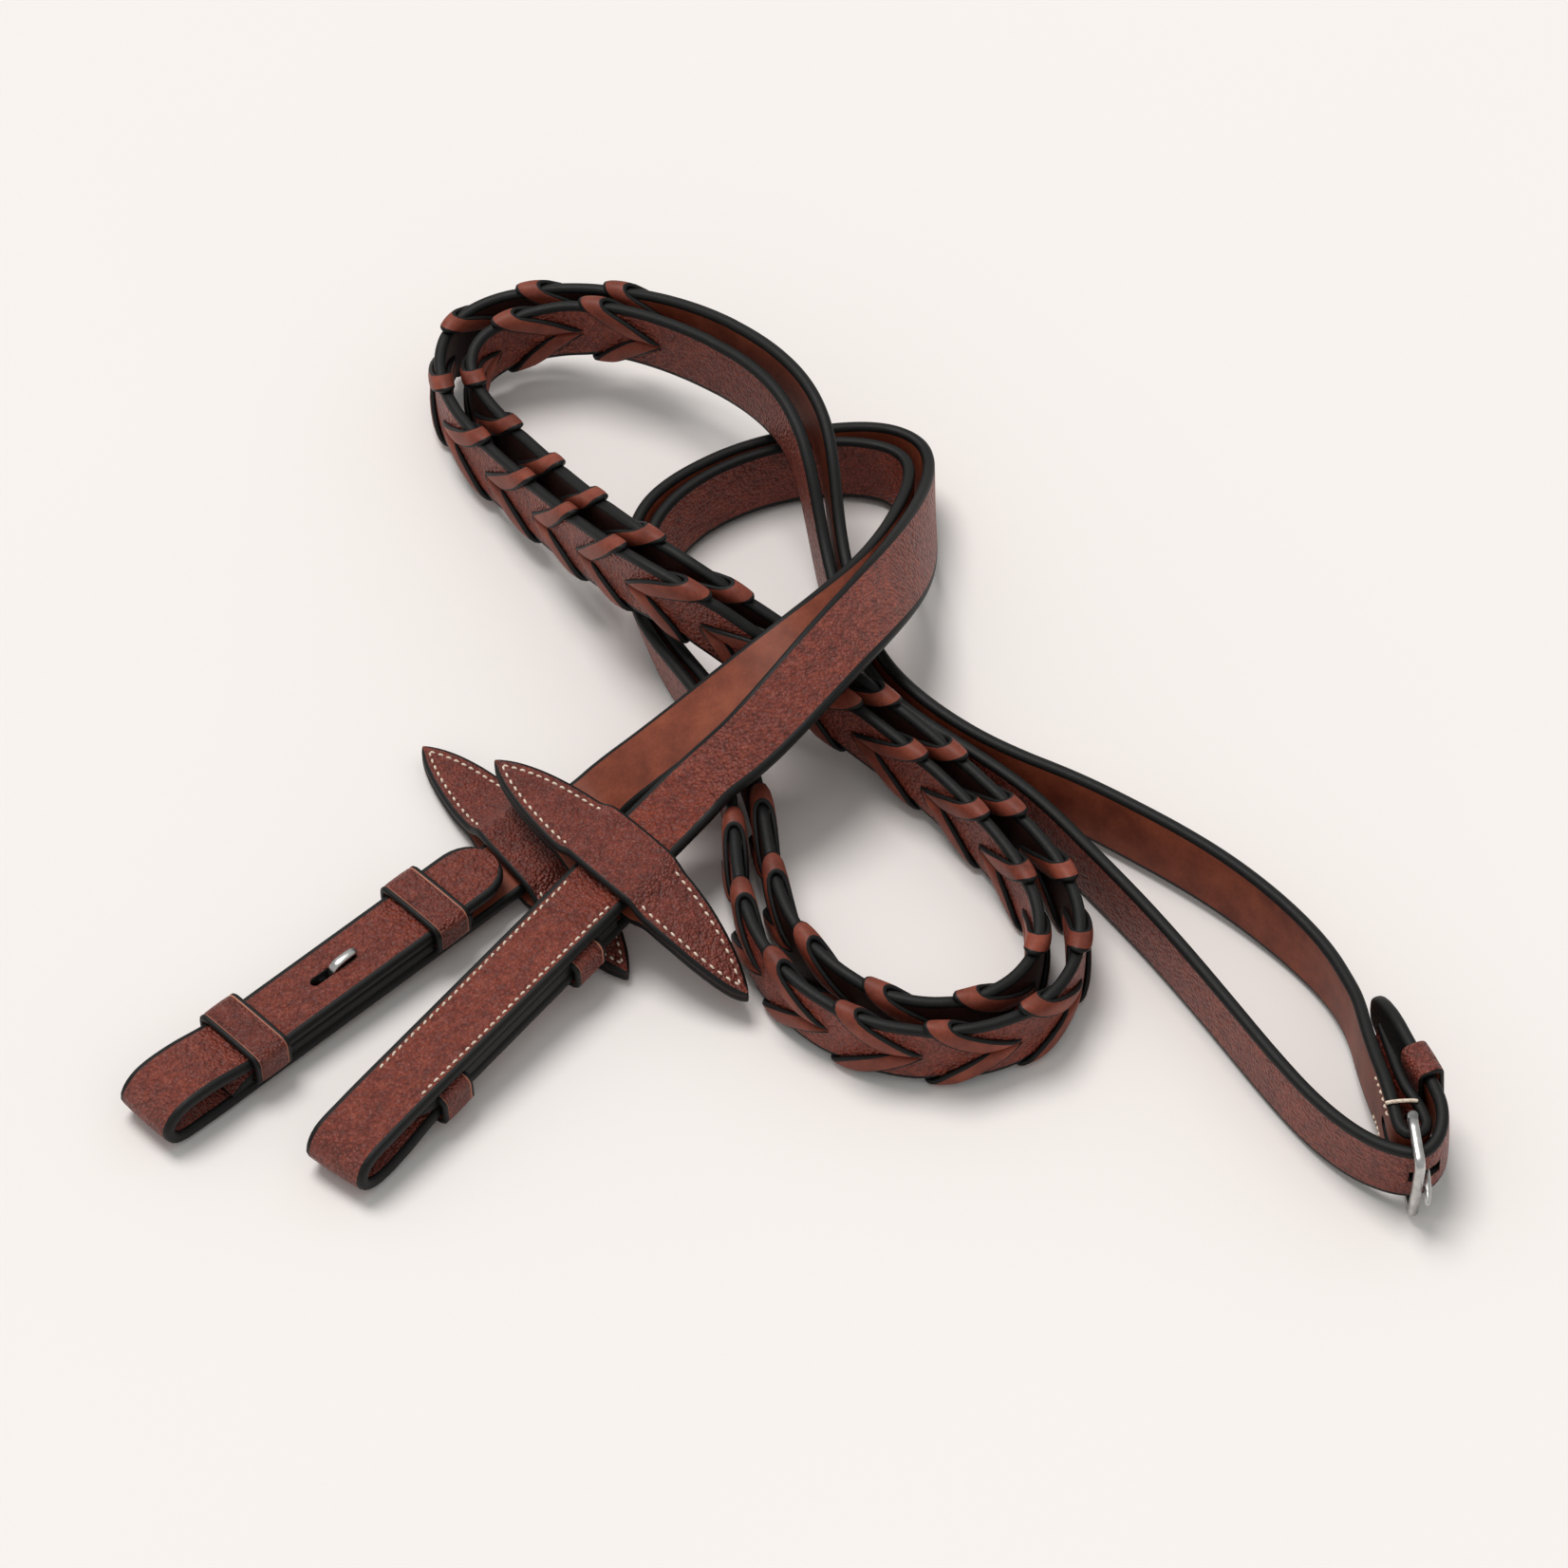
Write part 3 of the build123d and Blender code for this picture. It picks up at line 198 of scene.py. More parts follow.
ROUTE_B = [
    (-0.03385, -0.04167, 0.01057, -0.785, 0.619, 0.000),
    (-0.04251, -0.05264, 0.00967, -0.785, 0.619, 0.000),
    (-0.05113, -0.06358, 0.00878, -0.785, 0.619, 0.000),
    (-0.05993, -0.07473, 0.00787, -0.785, 0.619, 0.000),
    (-0.06775, -0.08465, 0.00706, -0.785, 0.619, -0.000),
    (-0.07135, -0.08923, 0.00667, -0.785, 0.619, 0.000),
    (-0.07649, -0.09574, 0.00624, -0.785, 0.619, -0.000),
    (-0.08160, -0.10222, 0.00432, -0.785, 0.619, 0.000),
    (-0.08536, -0.10699, 0.00263, -0.785, 0.619, -0.000),
    (-0.08985, -0.11268, 0.00175, -0.785, 0.619, 0.000),
    (-0.09251, -0.11606, 0.00247, -0.785, 0.619, -0.000),
    (-0.09411, -0.11809, 0.00527, -0.785, 0.619, 0.000),
    (-0.09363, -0.11748, 0.00808, -0.785, 0.619, -0.000),
    (-0.09220, -0.11566, 0.01042, -0.785, 0.619, 0.000),
    (-0.08731, -0.10947, 0.01114, -0.785, 0.619, -0.000),
    (-0.08481, -0.10629, 0.01157, -0.785, 0.619, 0.000),
    (-0.07506, -0.09393, 0.01255, -0.785, 0.619, -0.000),
    (-0.06646, -0.08302, 0.01344, -0.786, 0.619, 0.000),
    (-0.05756, -0.07171, 0.01434, -0.786, 0.619, -0.000),
    (-0.04862, -0.06034, 0.01524, -0.786, 0.618, 0.000),
    (-0.03958, -0.04883, 0.01613, -0.785, 0.619, -0.000),
    (-0.03042, -0.03728, 0.01712, -0.791, 0.610, 0.001),
    (-0.02133, -0.02508, 0.01745, -0.764, 0.658, -0.006),
    (-0.01476, -0.02000, 0.02171, -0.478, 0.890, 0.035),
    (-0.00761, -0.01742, 0.02732, -0.663, 0.743, 0.049),
    (0.00109, -0.00941, 0.03230, -0.774, 0.630, 0.102),
    (0.01113, 0.00395, 0.03458, -0.833, 0.531, 0.235),
    (0.02074, 0.02094, 0.03137, -0.754, 0.494, 0.458),
    (0.02828, 0.04064, 0.02333, -0.534, 0.455, 0.709),
    (0.03284, 0.06077, 0.01473, -0.235, 0.355, 0.899),
    (0.03416, 0.07659, 0.00966, 0.002, 0.219, 0.986),
    (0.03250, 0.08560, 0.00826, 0.089, 0.129, 1.000),
    (0.02882, 0.08981, 0.00824, 0.077, 0.123, 0.992),
    (0.02383, 0.09181, 0.00828, 0.041, 0.161, 0.985),
    (0.01690, 0.09223, 0.00825, 0.001, 0.189, 0.982),
    (0.00754, 0.09099, 0.00819, -0.036, 0.191, 0.981),
    (-0.00243, 0.08829, 0.00816, -0.066, 0.184, 0.981),
    (-0.01103, 0.08448, 0.00822, -0.093, 0.181, 0.979),
    (-0.01834, 0.07980, 0.00825, -0.119, 0.177, 0.978),
    (-0.02458, 0.07456, 0.00829, -0.153, 0.165, 0.975),
    (-0.02910, 0.06891, 0.00834, -0.206, 0.129, 0.970),
    (-0.03167, 0.06220, 0.00829, -0.270, 0.069, 0.960),
    (-0.03266, 0.05365, 0.00807, -0.313, 0.008, 0.951),
    (-0.03238, 0.04391, 0.00787, -0.307, -0.040, 0.952),
    (-0.03073, 0.03466, 0.00808, -0.258, -0.073, 0.964),
    (-0.02750, 0.02617, 0.00841, -0.194, -0.079, 0.979),
    (-0.02305, 0.01776, 0.00873, -0.127, -0.057, 0.991),
    (-0.01834, 0.00852, 0.00898, -0.058, -0.024, 0.998),
    (-0.01451, -0.00251, 0.00917, -0.008, -0.002, 1.000),
    (-0.01208, -0.01538, 0.00927, 0.007, 0.003, 1.000),
    (-0.01073, -0.02897, 0.00926, 0.003, 0.001, 1.000),
    (-0.00994, -0.04177, 0.00936, -0.001, -0.000, 1.000),
    (-0.00851, -0.05304, 0.00939, -0.000, -0.000, 1.000),
    (-0.00545, -0.06320, 0.00939, 0.000, 0.000, 1.000),
    (-0.00007, -0.07270, 0.00939, -0.000, -0.000, 1.000),
    (0.00775, -0.08110, 0.00939, 0.000, 0.000, 1.000),
    (0.01761, -0.08725, 0.00939, 0.000, -0.000, 1.000),
    (0.02881, -0.09015, 0.00939, -0.000, 0.000, 1.000),
    (0.04016, -0.08961, 0.00938, 0.000, -0.000, 1.000),
    (0.05027, -0.08604, 0.00938, 0.000, -0.000, 1.000),
    (0.05825, -0.07960, 0.00939, -0.000, 0.001, 1.000),
    (0.06342, -0.06996, 0.00939, -0.001, 0.002, 1.000),
    (0.06484, -0.05774, 0.00936, 0.000, -0.002, 1.000),
    (0.06206, -0.04511, 0.00937, 0.006, -0.013, 1.000),
    (0.05574, -0.03352, 0.00956, 0.016, -0.027, 1.000),
    (0.04727, -0.02242, 0.01004, 0.032, -0.044, 0.999),
    (0.03784, -0.01148, 0.01100, 0.068, -0.071, 0.995),
    (0.02754, -0.00140, 0.01287, 0.127, -0.102, 0.986),
    (0.01614, 0.00752, 0.01592, 0.188, -0.128, 0.974),
    (0.00436, 0.01517, 0.01976, 0.227, -0.144, 0.964),
    (-0.00644, 0.02154, 0.02368, 0.228, -0.152, 0.968),
    (-0.01579, 0.02667, 0.02736, 0.166, -0.125, 0.984),
    (-0.02429, 0.03190, 0.02980, 0.027, -0.004, 0.988),
    (-0.03325, 0.04111, 0.02852, -0.117, 0.168, 0.972),
    (-0.04328, 0.05651, 0.02276, -0.167, 0.257, 0.960),
    (-0.05341, 0.07408, 0.01625, -0.130, 0.222, 0.970),
    (-0.06236, 0.08875, 0.01230, -0.062, 0.130, 0.990),
    (-0.06928, 0.10021, 0.01097, -0.002, 0.009, 0.999),
    (-0.07260, 0.10987, 0.01138, -0.014, -0.118, 0.992),
    (-0.07097, 0.11721, 0.01280, -0.113, -0.171, 0.977),
    (-0.06523, 0.12147, 0.01458, -0.204, -0.118, 0.972),
    (-0.05738, 0.12336, 0.01636, -0.218, -0.031, 0.977),
    (-0.04854, 0.12331, 0.01814, -0.184, 0.030, 0.983),
    (-0.03877, 0.12050, 0.01996, -0.143, 0.063, 0.988),
    (-0.02798, 0.11438, 0.02185, -0.113, 0.081, 0.990),
    (-0.01706, 0.10580, 0.02391, -0.097, 0.100, 0.992),
    (-0.00767, 0.09603, 0.02602, -0.073, 0.105, 0.999),
    (-0.00083, 0.08584, 0.02730, -0.015, 0.024, 1.001),
    (0.00344, 0.07632, 0.02642, 0.057, -0.175, 0.971),
    (0.00585, 0.06816, 0.02308, 0.100, -0.379, 0.922),
    (0.00754, 0.06049, 0.01833, 0.095, -0.429, 0.907),
    (0.00930, 0.05174, 0.01395, 0.063, -0.313, 0.944),
    (0.01146, 0.04122, 0.01114, 0.030, -0.153, 0.986),
    (0.01409, 0.02969, 0.00984, 0.015, -0.056, 1.002),
    (0.01755, 0.01861, 0.00924, 0.016, -0.029, 1.001),
    (0.02306, 0.00891, 0.00871, 0.019, -0.024, 1.000),
    (0.03174, 0.00030, 0.00826, 0.013, -0.013, 1.000),
    (0.04240, -0.00839, 0.00809, 0.003, -0.001, 1.000),
    (0.05226, -0.01751, 0.00809, -0.001, 0.002, 1.000),
    (0.05967, -0.02634, 0.00809, -0.001, 0.000, 1.000),
    (0.06558, -0.03459, 0.00809, 0.000, -0.000, 1.000),
    (0.07168, -0.04310, 0.00809, -0.000, 0.000, 1.000),
    (0.07861, -0.05306, 0.00811, -0.000, 0.000, 1.000),
    (0.08656, -0.06546, 0.00814, 0.001, -0.001, 1.000),
    (0.09538, -0.08014, 0.00813, 0.004, -0.006, 1.000),
    (0.10412, -0.09496, 0.00804, 0.003, 0.006, 1.001),
    (0.11210, -0.10734, 0.00826, -0.027, 0.047, 0.998),
    (0.11949, -0.11624, 0.00923, -0.101, 0.075, 0.991),
    (0.12596, -0.12170, 0.01059, -0.165, 0.036, 0.986),
    (0.13058, -0.12383, 0.01144, -0.150, -0.041, 0.986),
    (0.13341, -0.12430, 0.01149, -0.018, -0.113, 0.995),
    (0.13687, -0.12179, 0.01192, -0.055, -0.122, 0.991),
    (0.13874, -0.11785, 0.01255, -0.060, -0.095, 0.994),
    (0.13913, -0.11278, 0.01292, -0.063, -0.048, 0.997),
    (0.13788, -0.10735, 0.01301, -0.089, -0.025, 0.996),
    (0.13480, -0.09990, 0.01288, -0.071, -0.007, 0.998),
    (0.13213, -0.09266, 0.01269, -0.063, 0.020, 0.998),
    (0.12962, -0.08537, 0.01226, -0.050, 0.038, 0.998),
    (0.12682, -0.07857, 0.01226, -0.050, 0.038, 0.998),
]


# ------------------------------------------------------------------ lines
def nurbs_points(points, name):
    cu = bpy.data.curves.new(name, "CURVE")
    cu.dimensions = "3D"
    cu.resolution_u = 10
    sp = cu.splines.new("NURBS")
    sp.points.add(len(points) - 1)
    for p, q in zip(sp.points, points):
        p.co = (q[0], q[1], q[2], 1.0)
    sp.order_u = 3
    sp.use_endpoint_u = True
    sp.resolution_u = 10
    ob = bpy.data.objects.new(name, cu)
    bpy.context.scene.collection.objects.link(ob)
    dg = bpy.context.evaluated_depsgraph_get()
    me = bpy.data.meshes.new_from_object(ob.evaluated_get(dg))
    co = np.empty(len(me.vertices) * 3)
    me.vertices.foreach_get("co", co)
    bpy.data.objects.remove(ob)
    bpy.data.curves.remove(cu)
    bpy.data.meshes.remove(me)
    return co.reshape(-1, 3)


class Rein:
    def __init__(self, route, name):
        self.path_m = nurbs_points([r[:3] for r in route], name + "_line")
        c = self.path_m * 1000.0
        d = nurbs_points([r[3:] for r in route], name + "_across")
        assert len(c) == len(d)
        self.s = np.concatenate([[0.0], np.cumsum(np.linalg.norm(np.diff(c, axis=0), axis=1))])
        t = np.gradient(c, self.s, axis=0)
        self.c, self.t, self.d = c, t / np.linalg.norm(t, axis=1)[:, None], d
        self.length = float(self.s[-1])

    def frames(self, s):
        s = np.asarray(s, float)
        f = lambda arr: np.stack([np.interp(s, self.s, arr[:, i]) for i in range(3)], -1)
        over = np.clip(s - self.length, 0, None) + np.clip(s, None, 0)
        t = f(self.t)
        t /= np.linalg.norm(t, axis=-1, keepdims=True)
        c = f(self.c) + t * over[..., None]
        d = f(self.d)
        d -= t * (d * t).sum(-1, keepdims=True)
        d /= np.linalg.norm(d, axis=-1, keepdims=True)
        return c, t, d, np.cross(t, d)

    def pts(self, s, a, n):
        s, a, n = np.broadcast_arrays(np.asarray(s, float), np.asarray(a, float), np.asarray(n, float))
        c, t, d, nn = self.frames(s)
        return c + a[..., None] * d + n[..., None] * nn


A = Rein(ROUTE_A, "rein_a")
B = Rein(ROUTE_B, "rein_b")
print("rein lengths", round(A.length, 1), round(B.length, 1))


# ------------------------------------------------------------------ mesh helpers
def make(name, verts, faces, mats, index=None, smooth=True):
    me = bpy.data.meshes.new(name)
    me.from_pydata([tuple(v) for v in (np.asarray(verts) * 0.001).tolist()], [], [tuple(f) for f in faces])
    for m in mats:
        me.materials.append(m)
    if index is not None:
        me.polygons.foreach_set("material_index", np.asarray(index, dtype=np.int32))
    if smooth:
        me.polygons.foreach_set("use_smooth", np.ones(len(me.polygons), dtype=bool))
    me.update()
    me.validate()
    ob = bpy.data.objects.new(name, me)
    bpy.context.scene.collection.objects.link(ob)
    return ob


def volume(verts, faces):
    v = np.asarray(verts)
    tot = 0.0
    for f in faces:
        for i in range(1, len(f) - 1):
            tot += float(np.dot(v[f[0]], np.cross(v[f[i]], v[f[i + 1]])))
    return tot


class Build:
    """Collects closed shells into one mesh."""

    def __init__(self):
        self.v, self.f, self.m, self.n = [], [], [], 0

    def add(self, verts, faces, mat):
        verts = np.asarray(verts, float)
        centre = verts.mean(0)
        if volume(verts - centre, faces) < 0:
            faces = [f[::-1] for f in faces]
        self.v.append(verts)
        self.f += [[i + self.n for i in f] for f in faces]
        self.m += list(mat)
        self.n += len(verts)

    def tube(self, rings, zone, cap=0, closed=False):
        """rings: R x K x 3. zone: material of each of the K strips (or R-1 x K)."""
        rings = np.asarray(rings, float)
        R, K = rings.shape[:2]
        faces, mat = [], []
        last = R if closed else R - 1
        for r in range(last):
            q = (r + 1) % R
            z = zone[r] if np.ndim(zone) == 2 else zone
            for k in range(K):
                j = (k + 1) % K
                faces.append([r * K + k, r * K + j, q * K + j, q * K + k])
                mat.append(int(z[k]))
        if not closed:
            faces.append(list(range(K - 1, -1, -1)))
            faces.append([(R - 1) * K + k for k in range(K)])
            mat += [cap, cap]
        self.add(rings.reshape(-1, 3), faces, mat)

    def object(self, name, mats, smooth=True):
        return make(name, np.vstack(self.v), self.f, mats, self.m, smooth)


def boolean_cut(ob, cutter):
    m = ob.modifiers.new("cut", "BOOLEAN")
    m.operation = "DIFFERENCE"
    m.solver = "EXACT"
    m.object = cutter
    dg = bpy.context.evaluated_depsgraph_get()
    me = bpy.data.meshes.new_from_object(ob.evaluated_get(dg))
    ob.modifiers.clear()
    old = ob.data
    ob.data = me
    bpy.data.meshes.remove(old)
    cm = cutter.data
    bpy.data.objects.remove(cutter)
    bpy.data.meshes.remove(cm)


# ------------------------------------------------------------------ materials
def srgb(r, g, b):
    f = lambda c: (c / 255.0) / 12.92 if c / 255.0 <= 0.04045 else ((c / 255.0 + 0.055) / 1.055) ** 2.4
    return (f(r), f(g), f(b), 1.0)


def new_mat(name):
    m = bpy.data.materials.new(name)
    m.use_nodes = True
    nt = m.node_tree
    nt.nodes.clear()
    out = nt.nodes.new("ShaderNodeOutputMaterial")
    bs = nt.nodes.new("ShaderNodeBsdfPrincipled")
    nt.links.new(bs.outputs[0], out.inputs[0])
    co = nt.nodes.new("ShaderNodeTexCoord")
    mp = nt.nodes.new("ShaderNodeMapping")
    mp.inputs["Scale"].default_value = (1000, 1000, 1000)
    nt.links.new(co.outputs["Object"], mp.inputs["Vector"])
    return m, nt, bs, mp.outputs["Vector"]


def noise(nt, vec, scale, detail=3.0, rough=0.55):
    n = nt.nodes.new("ShaderNodeTexNoise")
    n.inputs["Scale"].default_value = scale
    n.inputs["Detail"].default_value = detail
    n.inputs["Roughness"].default_value = rough
    nt.links.new(vec, n.inputs["Vector"])
    return n


def ramp(nt, fac, stops):
    r = nt.nodes.new("ShaderNodeValToRGB")
    el = r.color_ramp.elements
    while len(el) < len(stops):
        el.new(0.5)
    for e, (pos, col) in zip(el, stops):
        e.position = pos
        e.color = col
    nt.links.new(fac, r.inputs["Fac"])
    return r.outputs["Color"]


def mix(nt, kind, fac, a, b):
    m = nt.nodes.new("ShaderNodeMix")
    m.data_type = "RGBA"
    m.blend_type = kind
    if isinstance(fac, float):
        m.inputs[0].default_value = fac
    else:
        nt.links.new(fac, m.inputs[0])
    nt.links.new(a, m.inputs[6])
    nt.links.new(b, m.inputs[7])
    return m.outputs[2]


def maths(nt, op, a, b):
    m = nt.nodes.new("ShaderNodeMath")
    m.operation = op
    for i, x in enumerate((a, b)):
        if isinstance(x, (int, float)):
            m.inputs[i].default_value = x
        else:
            nt.links.new(x, m.inputs[i])
    return m.outputs[0]


def bump(nt, bs, height, strength, dist_mm):
    b = nt.nodes.new("ShaderNodeBump")
    b.inputs["Strength"].default_value = strength
    b.inputs["Distance"].default_value = dist_mm * 0.001
    nt.links.new(height, b.inputs["Height"])
    nt.links.new(b.outputs[0], bs.inputs["Normal"])


def grain_leather(name, dark, mid, light, cell=0.78, strength=0.6, depth=0.22, rough=(0.36, 0.56)):
    m, nt, bs, vec = new_mat(name)
    warp = noise(nt, vec, 0.9, 2.0)
    add = nt.nodes.new("ShaderNodeVectorMath")
    add.operation = "MULTIPLY_ADD"
    add.inputs[1].default_value = (0.55, 0.55, 0.55)
    nt.links.new(warp.outputs["Color"], add.inputs[0])
    nt.links.new(vec, add.inputs[2])
    vor = nt.nodes.new("ShaderNodeTexVoronoi")
    vor.feature = "SMOOTH_F1"
    vor.inputs["Scale"].default_value = 1.0 / cell
    vor.inputs["Smoothness"].default_value = 0.35
    nt.links.new(add.outputs[0], vor.inputs["Vector"])
    fine = noise(nt, vec, 3.2, 3.0, 0.6)
    wide = noise(nt, vec, 0.045, 3.0, 0.55)
    patch = noise(nt, vec, 0.35, 4.0, 0.65)
    base = ramp(nt, patch.outputs["Fac"], [(0.25, dark), (0.5, mid), (0.78, light)])
    # painted shade darkens the grain creases and painted light brightens the pebble centres; the pebble pattern itself
    # is the leather's grain
    crease_shade_pebble_light = ramp(nt, vor.outputs["Distance"], [(0.0, (1.16, 1.14, 1.12, 1)), (0.42, (1, 1, 1, 1)), (0.82, (0.56, 0.5, 0.5, 1))])
    c1 = mix(nt, "MULTIPLY", 0.85, base, crease_shade_pebble_light)
    tone = ramp(nt, wide.outputs["Fac"], [(0.3, (0.86, 0.84, 0.84, 1)), (0.7, (1.1, 1.08, 1.06, 1))])
    c2 = mix(nt, "MULTIPLY", 1.0, c1, tone)
    nt.links.new(c2, bs.inputs["Base Color"])
    hgt = maths(nt, "MULTIPLY_ADD", vor.outputs["Distance"], -1.0)
    nt.nodes[-1].inputs[2].default_value = 1.0
    h2 = maths(nt, "MULTIPLY", fine.outputs["Fac"], 0.22)
    h3 = maths(nt, "ADD", hgt, h2)
    bump(nt, bs, h3, strength, depth)
    rr = nt.nodes.new("ShaderNodeMapRange")
    rr.inputs["To Min"].default_value, rr.inputs["To Max"].default_value = rough
    nt.links.new(vor.outputs["Distance"], rr.inputs["Value"])
    nt.links.new(rr.outputs[0], bs.inputs["Roughness"])
    bs.inputs["Specular IOR Level"].default_value = 0.5
    return m


def smooth_leather(name, dark, mid, light, scale=1.4, strength=0.25, depth=0.1, rough=(0.45, 0.62)):
    m, nt, bs, vec = new_mat(name)
    a = noise(nt, vec, scale, 4.0, 0.62)
    w = noise(nt, vec, 0.12, 3.0, 0.6)
    base = ramp(nt, w.outputs["Fac"], [(0.28, dark), (0.5, mid), (0.74, light)])
    sp = ramp(nt, a.outputs["Fac"], [(0.3, (0.8, 0.78, 0.78, 1)), (0.7, (1.12, 1.1, 1.08, 1))])
    nt.links.new(mix(nt, "MULTIPLY", 0.8, base, sp), bs.inputs["Base Color"])
    bump(nt, bs, a.outputs["Fac"], strength, depth)
    rr = nt.nodes.new("ShaderNodeMapRange")
    rr.inputs["To Min"].default_value, rr.inputs["To Max"].default_value = rough
    nt.links.new(a.outputs["Fac"], rr.inputs["Value"])
    nt.links.new(rr.outputs[0], bs.inputs["Roughness"])
    bs.inputs["Specular IOR Level"].default_value = 0.25
    return m


def edge_paint(name, tint=(15, 14, 14)):
    m, nt, bs, vec = new_mat(name)
    a = noise(nt, vec, 0.9, 4.0, 0.65)
    col = ramp(nt, a.outputs["Fac"], [(0.35, srgb(6, 6, 6)), (0.6, srgb(*tint)), (0.85, srgb(30, 23, 20))])
    nt.links.new(col, bs.inputs["Base Color"])
    st = nt.nodes.new("ShaderNodeTexNoise")
    st.inputs["Scale"].default_value = 2.2
    nt.links.new(vec, st.inputs["Vector"])
    bump(nt, bs, st.outputs["Fac"], 0.3, 0.12)
    rr = nt.nodes.new("ShaderNodeMapRange")
    rr.inputs["To Min"].default_value, rr.inputs["To Max"].default_value = 0.42, 0.68
    nt.links.new(a.outputs["Fac"], rr.inputs["Value"])
    nt.links.new(rr.outputs[0], bs.inputs["Roughness"])
    bs.inputs["Specular IOR Level"].default_value = 0.28
    return m


def thread_mat(name):
    m, nt, bs, vec = new_mat(name)
    a = noise(nt, vec, 2.6, 3.0)
    col = ramp(nt, a.outputs["Fac"], [(0.3, srgb(196, 170, 148)), (0.55, srgb(238, 219, 199)), (0.8, srgb(250, 240, 226))])
    nt.links.new(col, bs.inputs["Base Color"])
    bump(nt, bs, a.outputs["Fac"], 0.3, 0.08)
    rr = nt.nodes.new("ShaderNodeMapRange")
    rr.inputs["To Min"].default_value, rr.inputs["To Max"].default_value = 0.6, 0.85
    nt.links.new(a.outputs["Fac"], rr.inputs["Value"])
    nt.links.new(rr.outputs[0], bs.inputs["Roughness"])
    return m


def steel_mat(name):
    m, nt, bs, vec = new_mat(name)
    a = noise(nt, vec, 1.8, 5.0, 0.7)
    w = noise(nt, vec, 0.3, 3.0)
    col = ramp(nt, w.outputs["Fac"], [(0.3, (0.42, 0.41, 0.40, 1)), (0.7, (0.66, 0.65, 0.64, 1))])
    nt.links.new(col, bs.inputs["Base Color"])
    bs.inputs["Metallic"].default_value = 1.0
    rr = nt.nodes.new("ShaderNodeMapRange")
    rr.inputs["To Min"].default_value, rr.inputs["To Max"].default_value = 0.18, 0.4
    nt.links.new(a.outputs["Fac"], rr.inputs["Value"])
    nt.links.new(rr.outputs[0], bs.inputs["Roughness"])
    bump(nt, bs, a.outputs["Fac"], 0.12, 0.05)
    return m


GRAIN = grain_leather("rein_grain", srgb(98, 39, 27), srgb(128, 53, 37), srgb(152, 70, 49), cell=0.82, strength=1.0, depth=0.75, rough=(0.3, 0.52))
FLESH = smooth_leather("rein_flesh", srgb(104, 47, 30), srgb(128, 62, 41), srgb(146, 76, 51))
EDGE = edge_paint("edge_paint")
FIT = grain_leather("fitting_grain", srgb(92, 36, 26), srgb(117, 48, 35), srgb(142, 64, 46), cell=0.72, strength=1.0, depth=0.65, rough=(0.3, 0.52))
LACE = smooth_leather("lace_face", srgb(98, 44, 31), srgb(122, 58, 43), srgb(146, 74, 55), scale=1.1, strength=0.35, depth=0.14, rough=(0.4, 0.58))
THREAD = thread_mat("cream_thread")
STEEL = steel_mat("steel")
# painted highlight: light brown for the sloping strip beside each keeper's creased line, standing in for light caught
# there
KEEPER_LINE_HIGHLIGHT = smooth_leather("keeper_line_painted_highlight", srgb(150, 92, 72), srgb(172, 110, 88), srgb(190, 128, 104))
# painted shade: near-black brown for the flesh faces in the narrow gap between the laced reins
GAP_SHADE_DARK = smooth_leather("gap_painted_shade", srgb(38, 20, 16), srgb(50, 26, 21), srgb(64, 34, 27))
STRAP_MATS = [GRAIN, EDGE, FLESH, GAP_SHADE_DARK]


# ------------------------------------------------------------------ strap sections
def strap_profile(w, n_top, n_bot, crown=0.16, round_=0.95):
    """Section points (a, n) and the zone of the strip after each: 0 grain, 1 edge, 2 flesh. Grain is n > 0."""
    r = min(round_, w * 0.45)
    flat = w - r
    pts, zone = [], []
    A_ = np.concatenate([[-flat], np.linspace(-flat + 0.5, flat - 0.5, 9), [flat]]) if flat > 1 else np.linspace(-flat, flat, 11)
    for i, a in enumerate(A_):
        pts.append((a, n_top - crown * (abs(a) / flat) ** 3))
        zone.append(0 if 0 < i < 9 else 1)
    mid, half = (n_top + n_bot) / 2, (n_top - n_bot) / 2
    for ang in (62, 36, 12, -12, -36, -62):
        q = math.radians(ang)
        pts.append((flat + r * math.cos(q), mid + (half - 0.12) * math.sin(q)))
        zone.append(1)
    for i, a in enumerate(A_[::-1]):
        pts.append((a, n_bot + crown * 0.6 * (abs(a) / flat) ** 3))
        zone.append(2 if 0 < i < 9 else 1)
    for ang in (-118, -144, -168, 168, 144, 118):
        q = math.radians(ang)
        pts.append((-flat + r * math.cos(q), mid + (half - 0.12) * math.sin(q)))
        zone.append(1)
    return np.array(pts), zone


def tip_round(x):
    x = np.clip(x, 0, None)
    r = 9.0
    return float(HALF_W * math.sqrt(max(0.0, 1 - (max(0.0, r - x) / r) ** 2.2))) if x < r else HALF_W


def tip_point(x):
    return float(np.interp(x, [0.0, 0.4, 1.2, 2.5, 5.0, 9.0, 13.0], [1.6, 2.6, 3.7, 4.8, 6.2, 7.4, HALF_W]))


def vertices(span):
    return [span[0] + (k + 1) * (span[1] - span[0]) / LACE_COUNT for k in range(LACE_COUNT)]


